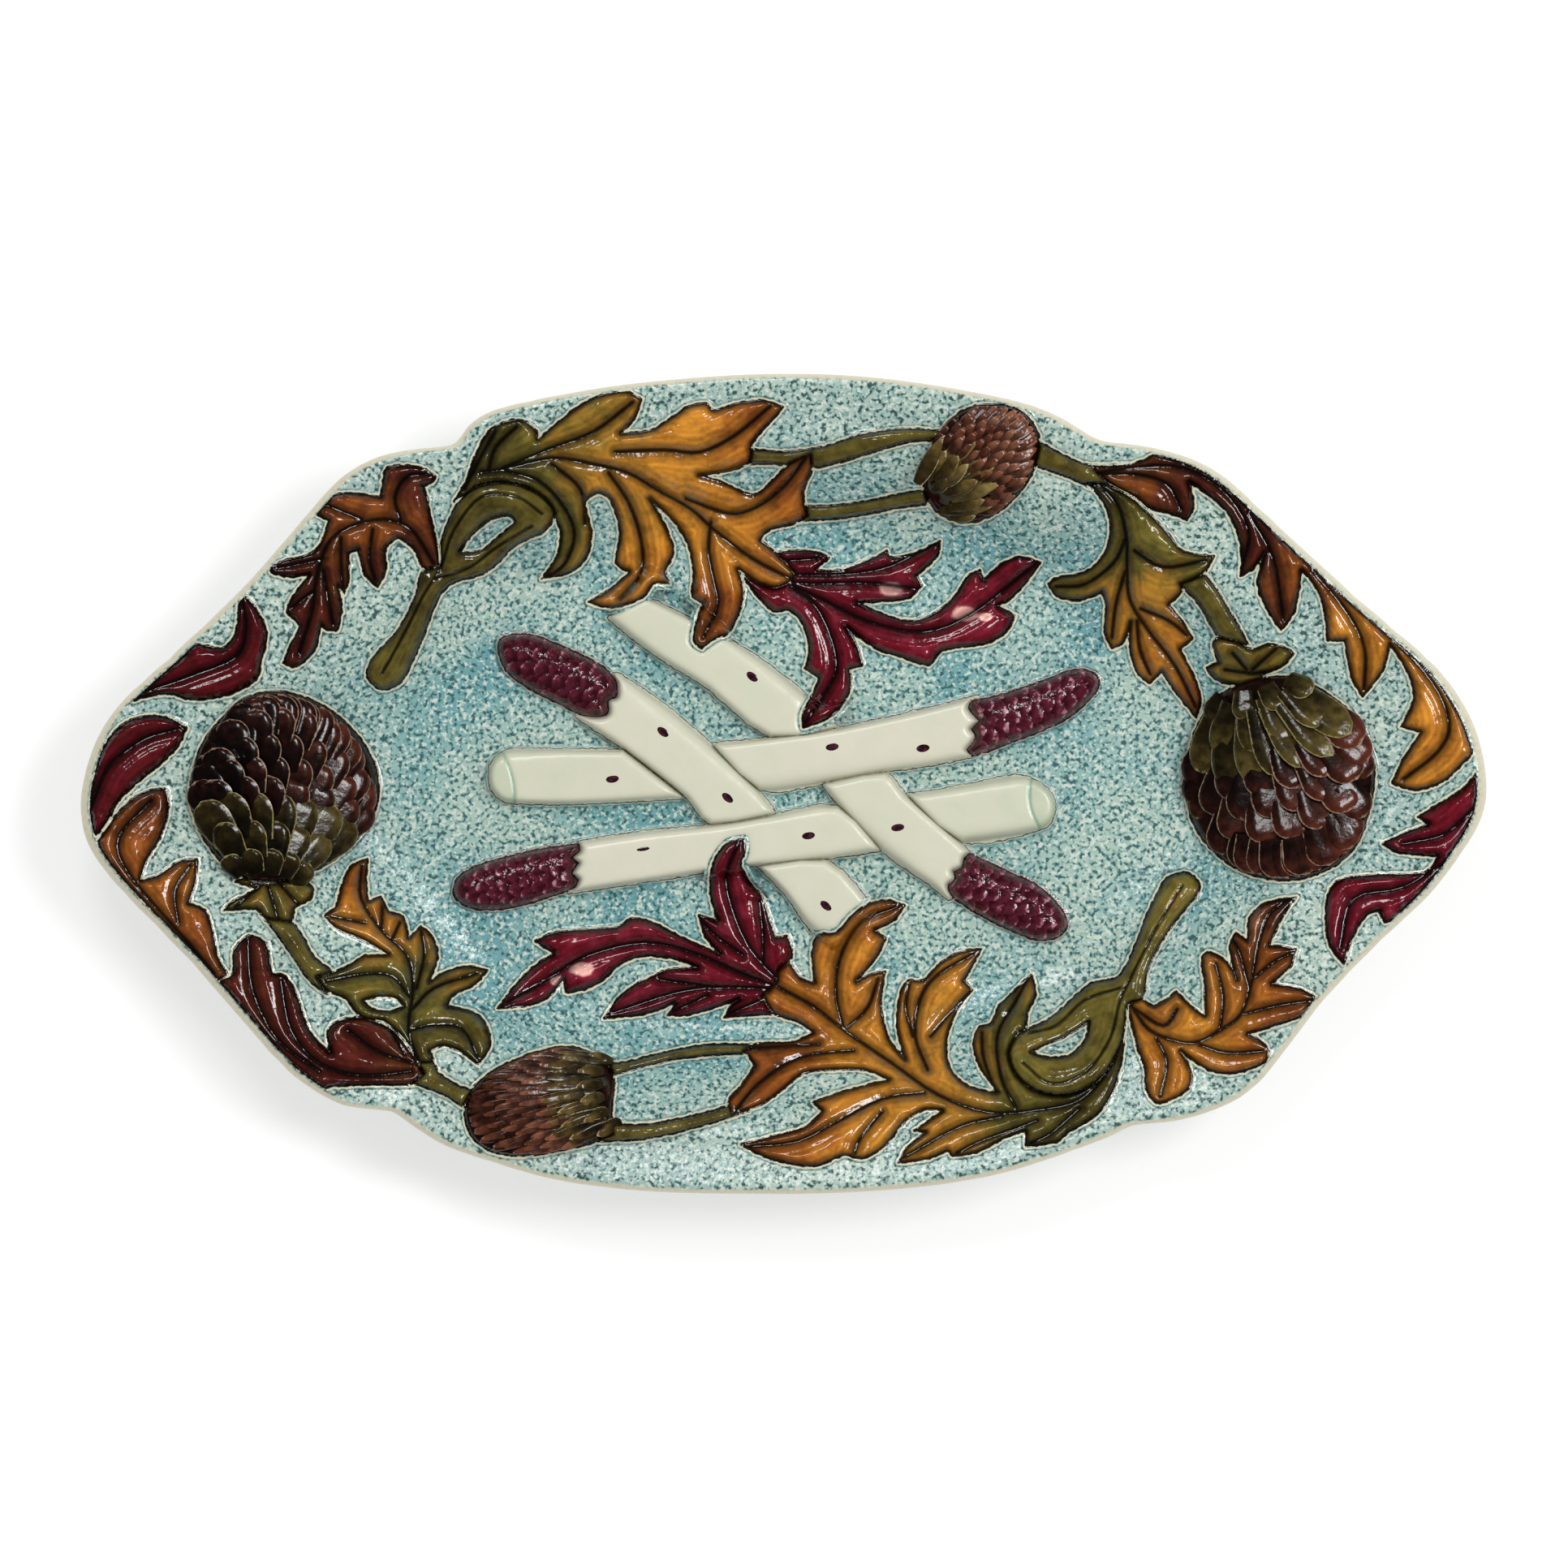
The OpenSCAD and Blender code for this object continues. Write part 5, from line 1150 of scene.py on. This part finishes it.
# Acanthus leaves
# The two largest leaves, one on each long side. Their lobes curl over the wall and down onto
# the spears, olive at the stem and amber to brown at the tips.
leaf("leaf_acanthus_top", [
    [(-0.43, 0.76), (-0.398, 0.768), (-0.33, 0.795), (-0.27, 0.78), (-0.222, 0.76),
     (-0.179, 0.719), (-0.133, 0.675), (-0.098, 0.622), (-0.045, 0.554), (0.01, 0.505)],
    [(-0.40, 0.77), (-0.33, 0.82), (-0.27, 0.86), (-0.215, 0.93)],
    [(-0.42, 0.765), (-0.41, 0.82), (-0.38, 0.87)],
    [(-0.455, 0.72), (-0.43, 0.80), (-0.41, 0.86)],
    [(-0.24, 0.81), (-0.17, 0.815), (-0.12, 0.81), (-0.07, 0.85), (-0.02, 0.92)],
    [(-0.14, 0.70), (-0.08, 0.665), (-0.04, 0.68), (0.0, 0.73), (0.03, 0.795)],
    [(-0.105, 0.645), (-0.108, 0.57), (-0.10, 0.50), (-0.095, 0.44), (-0.115, 0.36)],
    [(-0.25, 0.76), (-0.222, 0.69), (-0.205, 0.60), (-0.205, 0.52), (-0.235, 0.455)],
    [(-0.40, 0.765), (-0.35, 0.74), (-0.315, 0.68), (-0.30, 0.61), (-0.315, 0.54), (-0.34, 0.51)],
    [(-0.33, 0.78), (-0.29, 0.72), (-0.285, 0.64)],
], [(-0.42, 0.77, 0.14), (-0.33, 0.62, 0.2), (-0.28, 0.9, 0.3), (-0.24, 0.7, 0.4),
    (-0.15, 0.84, 0.46), (-0.03, 0.88, 0.58), (-0.1, 0.62, 0.46), (0.02, 0.76, 0.60),
    (0.0, 0.56, 0.52), (-0.22, 0.5, 0.5), (-0.11, 0.4, 0.62)], over=("bottom_right",))
leaf("leaf_acanthus_bottom", [
    [(-0.008, -0.50), (0.04, -0.545), (0.09, -0.61), (0.15, -0.68), (0.22, -0.76), (0.29, -0.80),
     (0.36, -0.795), (0.42, -0.77), (0.46, -0.70), (0.48, -0.62)],
    [(0.085, -0.60), (0.075, -0.52), (0.08, -0.43), (0.11, -0.34), (0.165, -0.30)],
    [(0.09, -0.60), (0.12, -0.55), (0.135, -0.48)],
    [(0.205, -0.70), (0.188, -0.62), (0.195, -0.53), (0.22, -0.47), (0.28, -0.41)],
    [(0.185, -0.62), (0.175, -0.55), (0.18, -0.49)],
    [(0.21, -0.62), (0.24, -0.56), (0.268, -0.51)],
    [(0.33, -0.79), (0.31, -0.72), (0.305, -0.62), (0.33, -0.54), (0.35, -0.48)],
    [(0.30, -0.75), (0.285, -0.67), (0.283, -0.61)],
    [(0.20, -0.755), (0.14, -0.77), (0.08, -0.82), (0.02, -0.87), (-0.05, -0.885)],
    [(0.14, -0.80), (0.11, -0.86), (0.10, -0.90)],
    [(0.10, -0.655), (0.04, -0.665), (0.0, -0.69), (-0.04, -0.74), (-0.07, -0.80)],
    [(0.05, -0.64), (-0.05, -0.65)],
    [(0.31, -0.81), (0.25, -0.835), (0.17, -0.91)],
    [(0.36, -0.82), (0.28, -0.87), (0.245, -0.90)],
    [(0.42, -0.79), (0.38, -0.85), (0.35, -0.875)],
], [(0.42, -0.78, 0.14), (0.33, -0.6, 0.2), (0.36, -0.86, 0.2), (0.24, -0.62, 0.42),
    (0.2, -0.86, 0.4), (0.12, -0.7, 0.46), (0.1, -0.45, 0.5), (0.0, -0.84, 0.58),
    (-0.02, -0.7, 0.6), (0.0, -0.56, 0.56), (0.17, -0.32, 0.56), (0.27, -0.44, 0.44)],
     over=("top_left",))


# Olive leaves
# Two long jagged leaves that hang from the rim into the well beside the artichokes, olive at
# one end and amber to brown at the other.
leaf("leaf_olive_right", [
    [(0.445, 0.735), (0.475, 0.68), (0.488, 0.60), (0.49, 0.52), (0.495, 0.45), (0.52, 0.38),
     (0.56, 0.29), (0.59, 0.19)],
    [(0.487, 0.60), (0.47, 0.54), (0.43, 0.49), (0.39, 0.485)],
    [(0.50, 0.57), (0.54, 0.53), (0.60, 0.545)],
    [(0.487, 0.52), (0.475, 0.44), (0.47, 0.36)],
    [(0.505, 0.40), (0.51, 0.33), (0.525, 0.27)],
    [(0.51, 0.43), (0.55, 0.40), (0.575, 0.365)],
], [(0.45, 0.72, 0.14), (0.49, 0.6, 0.2), (0.58, 0.55, 0.26), (0.41, 0.49, 0.26),
    (0.48, 0.42, 0.40), (0.53, 0.3, 0.50), (0.57, 0.36, 0.48), (0.59, 0.2, 0.56)])
leaf("leaf_olive_left", [
    [(-0.52, -0.68), (-0.535, -0.60), (-0.53, -0.50), (-0.54, -0.42), (-0.575, -0.36),
     (-0.605, -0.28), (-0.605, -0.20)],
    [(-0.535, -0.52), (-0.56, -0.47), (-0.60, -0.465), (-0.65, -0.48)],
    [(-0.525, -0.50), (-0.515, -0.42), (-0.52, -0.36)],
    [(-0.53, -0.55), (-0.50, -0.50), (-0.44, -0.465)],
    [(-0.53, -0.60), (-0.50, -0.59), (-0.46, -0.60), (-0.435, -0.67)],
    [(-0.575, -0.36), (-0.575, -0.30)],
    [(-0.56, -0.38), (-0.55, -0.34)],
    [(-0.60, -0.34), (-0.645, -0.325)],
], [(-0.52, -0.68, 0.14), (-0.46, -0.6, 0.2), (-0.64, -0.48, 0.2), (-0.54, -0.5, 0.22),
    (-0.45, -0.47, 0.3), (-0.58, -0.33, 0.48), (-0.61, -0.22, 0.56)])


# Burgundy leaves
# Two sprays of burgundy leaf in the well, each with tips laid over two spears, and smaller
# burgundy leaves that curl in from the ends of the rim.
# The two sprays carry painted highlights: pale pink spots where glints of the lamp would shine
leaf("leaf_burgundy_top", [
    [(0.0, 0.50), (0.04, 0.493), (0.12, 0.495), (0.19, 0.48)],
    [(0.015, 0.515), (0.08, 0.515), (0.15, 0.535), (0.215, 0.59)],
    [(0.01, 0.49), (0.06, 0.45), (0.12, 0.40), (0.20, 0.375), (0.27, 0.42), (0.36, 0.54)],
    [(0.01, 0.485), (0.045, 0.44), (0.068, 0.36), (0.075, 0.28), (0.05, 0.20), (0.03, 0.15)],
    [(0.0, 0.55), (0.05, 0.555)],
], [(0.0, 0.5, 0.87), (0.2, 0.55, 0.88), (0.33, 0.48, 0.88), (0.05, 0.2, 0.87)],
     over=("top_right", "bottom_right"),
     wear_and_glints=((0.154, 0.481, 3.5), (0.26, 0.418, 3.5), (0.29, 0.41, 2.0)))
leaf("leaf_burgundy_bottom", [
    [(-0.01, -0.50), (-0.07, -0.46), (-0.13, -0.415), (-0.20, -0.39), (-0.28, -0.42),
     (-0.34, -0.48), (-0.405, -0.545)],
    [(-0.01, -0.48), (-0.05, -0.40), (-0.075, -0.30), (-0.082, -0.22), (-0.065, -0.145)],
    [(-0.06, -0.42), (-0.10, -0.37), (-0.12, -0.33)],
    [(-0.03, -0.44), (-0.03, -0.36), (-0.035, -0.29)],
    [(-0.01, -0.505), (-0.08, -0.50), (-0.15, -0.51), (-0.25, -0.565)],
    [(-0.10, -0.50), (-0.18, -0.48)],
    [(-0.11, -0.52), (-0.16, -0.56)],
    [(-0.03, -0.53), (-0.08, -0.565)],
], [(0.0, -0.5, 0.87), (-0.2, -0.5, 0.88), (-0.36, -0.5, 0.88), (-0.07, -0.2, 0.88)],
     over=("top_left", "bottom_left"), wear_and_glints=((-0.29, -0.455, 3.0), (-0.325, -0.485, 2.0)))
leaf("leaf_burgundy_right", [
    [(0.985, -0.05), (0.94, -0.12), (0.88, -0.145)],
    [(0.96, -0.17), (0.88, -0.25), (0.81, -0.28), (0.79, -0.40)],
], [(0.9, -0.2, 0.88)])
leaf("leaf_burgundy_left_upper", [
    [(-0.985, 0.06), (-0.93, 0.20), (-0.85, 0.26), (-0.78, 0.31), (-0.765, 0.38), (-0.77, 0.45)],
], [(-0.9, 0.25, 0.80)])
leaf("leaf_burgundy_left_lower", [
    [(-0.985, -0.06), (-0.96, 0.04), (-0.91, 0.11), (-0.86, 0.135)],
], [(-0.93, 0.05, 0.80)])


# Brown and amber leaves
# The leaves that run along the rim, brown shaded with burgundy or amber streaked with brown.
leaf("leaf_brown_top_left", [
    [(-0.50, 0.54), (-0.53, 0.62), (-0.57, 0.645), (-0.62, 0.625), (-0.65, 0.58), (-0.665, 0.50),
     (-0.672, 0.42), (-0.69, 0.32)],
    [(-0.545, 0.64), (-0.553, 0.70), (-0.535, 0.75), (-0.505, 0.755)],
    [(-0.60, 0.645), (-0.65, 0.68)],
    [(-0.655, 0.55), (-0.72, 0.525)],
    [(-0.585, 0.62), (-0.59, 0.55), (-0.582, 0.50)],
    [(-0.63, 0.60), (-0.63, 0.53), (-0.627, 0.48)],
    [(-0.655, 0.52), (-0.648, 0.45), (-0.642, 0.39)],
    [(-0.67, 0.47), (-0.70, 0.43)],
], [(-0.52, 0.62, 0.66), (-0.58, 0.62, 0.58), (-0.62, 0.66, 0.62), (-0.52, 0.74, 0.70),
    (-0.7, 0.5, 0.74), (-0.63, 0.5, 0.66), (-0.69, 0.34, 0.76), (-0.585, 0.52, 0.70)])
leaf("leaf_rim_right", [
    [(0.44, 0.755), (0.50, 0.755), (0.545, 0.73), (0.565, 0.67)],
    [(0.45, 0.76), (0.55, 0.775), (0.62, 0.72), (0.66, 0.62), (0.65, 0.52)],
    [(0.66, 0.66), (0.695, 0.55), (0.71, 0.40)],
    [(0.75, 0.52), (0.80, 0.42), (0.825, 0.33), (0.825, 0.23)],
    [(0.85, 0.38), (0.92, 0.25), (0.945, 0.15), (0.93, 0.08), (0.88, 0.01)],
], [(0.48, 0.76, 0.62), (0.6, 0.72, 0.72), (0.66, 0.6, 0.72), (0.7, 0.45, 0.66),
    (0.76, 0.5, 0.58), (0.81, 0.36, 0.48), (0.86, 0.34, 0.5), (0.94, 0.2, 0.48),
    (0.92, 0.06, 0.5)])
leaf("leaf_amber_right", [
    [(0.495, -0.54), (0.52, -0.60), (0.56, -0.628), (0.59, -0.628), (0.62, -0.60),
     (0.65, -0.56), (0.665, -0.48), (0.675, -0.39), (0.69, -0.32), (0.72, -0.28)],
    [(0.50, -0.55), (0.54, -0.59), (0.56, -0.55)],
    [(0.62, -0.60), (0.625, -0.52), (0.615, -0.44)],
    [(0.662, -0.50), (0.65, -0.42), (0.64, -0.38)],
    [(0.67, -0.47), (0.70, -0.43), (0.725, -0.41)],
    [(0.655, -0.56), (0.70, -0.54), (0.755, -0.525)],
    [(0.59, -0.635), (0.63, -0.655), (0.68, -0.65)],
    [(0.53, -0.62), (0.545, -0.68), (0.535, -0.76)],
], [(0.52, -0.58, 0.5), (0.54, -0.74, 0.5), (0.6, -0.62, 0.48), (0.67, -0.66, 0.56),
    (0.74, -0.53, 0.60), (0.62, -0.47, 0.50), (0.66, -0.42, 0.62), (0.72, -0.3, 0.68)])
leaf("leaf_rim_left", [
    [(-0.53, -0.70), (-0.60, -0.71), (-0.66, -0.68), (-0.70, -0.60), (-0.715, -0.48)],
    [(-0.66, -0.70), (-0.72, -0.62), (-0.755, -0.50), (-0.762, -0.38)],
    [(-0.53, -0.68), (-0.58, -0.65), (-0.62, -0.60)],
    [(-0.54, -0.66), (-0.56, -0.60)],
], [(-0.54, -0.67, 0.66), (-0.6, -0.65, 0.74), (-0.68, -0.66, 0.74), (-0.75, -0.5, 0.72)])
leaf("leaf_amber_left", [
    [(-0.81, -0.46), (-0.86, -0.36), (-0.93, -0.22), (-0.945, -0.13), (-0.90, -0.04)],
    [(-0.86, -0.34), (-0.865, -0.26), (-0.845, -0.20)],
], [(-0.83, -0.42, 0.62), (-0.9, -0.3, 0.55), (-0.93, -0.16, 0.60), (-0.9, -0.05, 0.66),
    (-0.84, -0.24, 0.55)])


# Table, light and camera
# A plain white table that keeps the dish's faint soft shadow, large soft lamps high up, and
# a camera straight above the dish with a long lens.
# Plain white, matt, lit a little from within so that the shadow stays faint
table_paint = bpy.data.materials.new("plain white table")
tree = nodes_of(table_paint)
glazed(tree, (0.55, 0.55, 0.55, 1.0), 1.0)
paint = tree.nodes["Principled BSDF"].inputs
paint["Specular IOR Level"].default_value = 0.0
paint["Emission Color"].default_value = (1.0, 1.0, 1.0, 1.0)
paint["Emission Strength"].default_value = 0.42
far = 4000
floor = new_mesh("table", [(-far, -far, 0), (far, -far, 0), (far, far, 0), (-far, far, 0)],
                 [(0, 1, 2, 3)])
floor.data.materials.append(table_paint)

world = bpy.data.worlds.new("studio")
bpy.context.scene.world = world
tree = nodes_of(world)
# The room is white all round, but looks darker in the glaze's own reflections
reflected = add(tree, "ShaderNodeLightPath").outputs["Is Glossy Ray"]
level = add(tree, "ShaderNodeMapRange", Value=reflected, To_Min=0.74, To_Max=0.04)
background = add(tree, "ShaderNodeBackground", Color=(1.0, 1.0, 1.0, 1.0),
                 Strength=level.outputs["Result"])
add(tree, "ShaderNodeOutputWorld", Surface=background.outputs[0])


def lamp(name, place, size, power):
    light = bpy.data.lights.new(name, "AREA")
    light.shape = "RECTANGLE"
    light.size, light.size_y = size[0] * MM, size[1] * MM
    light.energy = power
    obj = bpy.data.objects.new(name, light)
    obj.location = [v * MM for v in place]
    towards = -obj.location.normalized()
    obj.rotation_euler = towards.to_track_quat("-Z", "Y").to_euler()
    bpy.context.scene.collection.objects.link(obj)


lamp("key lamp", (900, 350, 1600), (600, 450), 14.0)
lamp("fill lamp", (-250, 900, 1500), (450, 350), 6.0)

# The lens gives the dish, at the height of its rim, this many of the picture's pixels
CAMERA_Z = 2600.0
DISH_PIXELS = 1732.0
PICTURE_PIXELS = 1932
camera = bpy.data.cameras.new("camera")
camera.sensor_width = 36.0
seen_width = 2 * HALF_L * PICTURE_PIXELS / DISH_PIXELS
camera.lens = camera.sensor_width * (CAMERA_Z - RIM_Z) / seen_width
camera.clip_end = 20
camera_obj = bpy.data.objects.new("camera", camera)
camera_obj.location = (0, 0, CAMERA_Z * MM)
bpy.context.scene.collection.objects.link(camera_obj)
bpy.context.scene.camera = camera_obj
bpy.context.scene.view_settings.view_transform = "Standard"

# The single mark and scales were only there to be copied
for helper in (mark, round_scale, long_scale):
    bpy.data.objects.remove(helper)
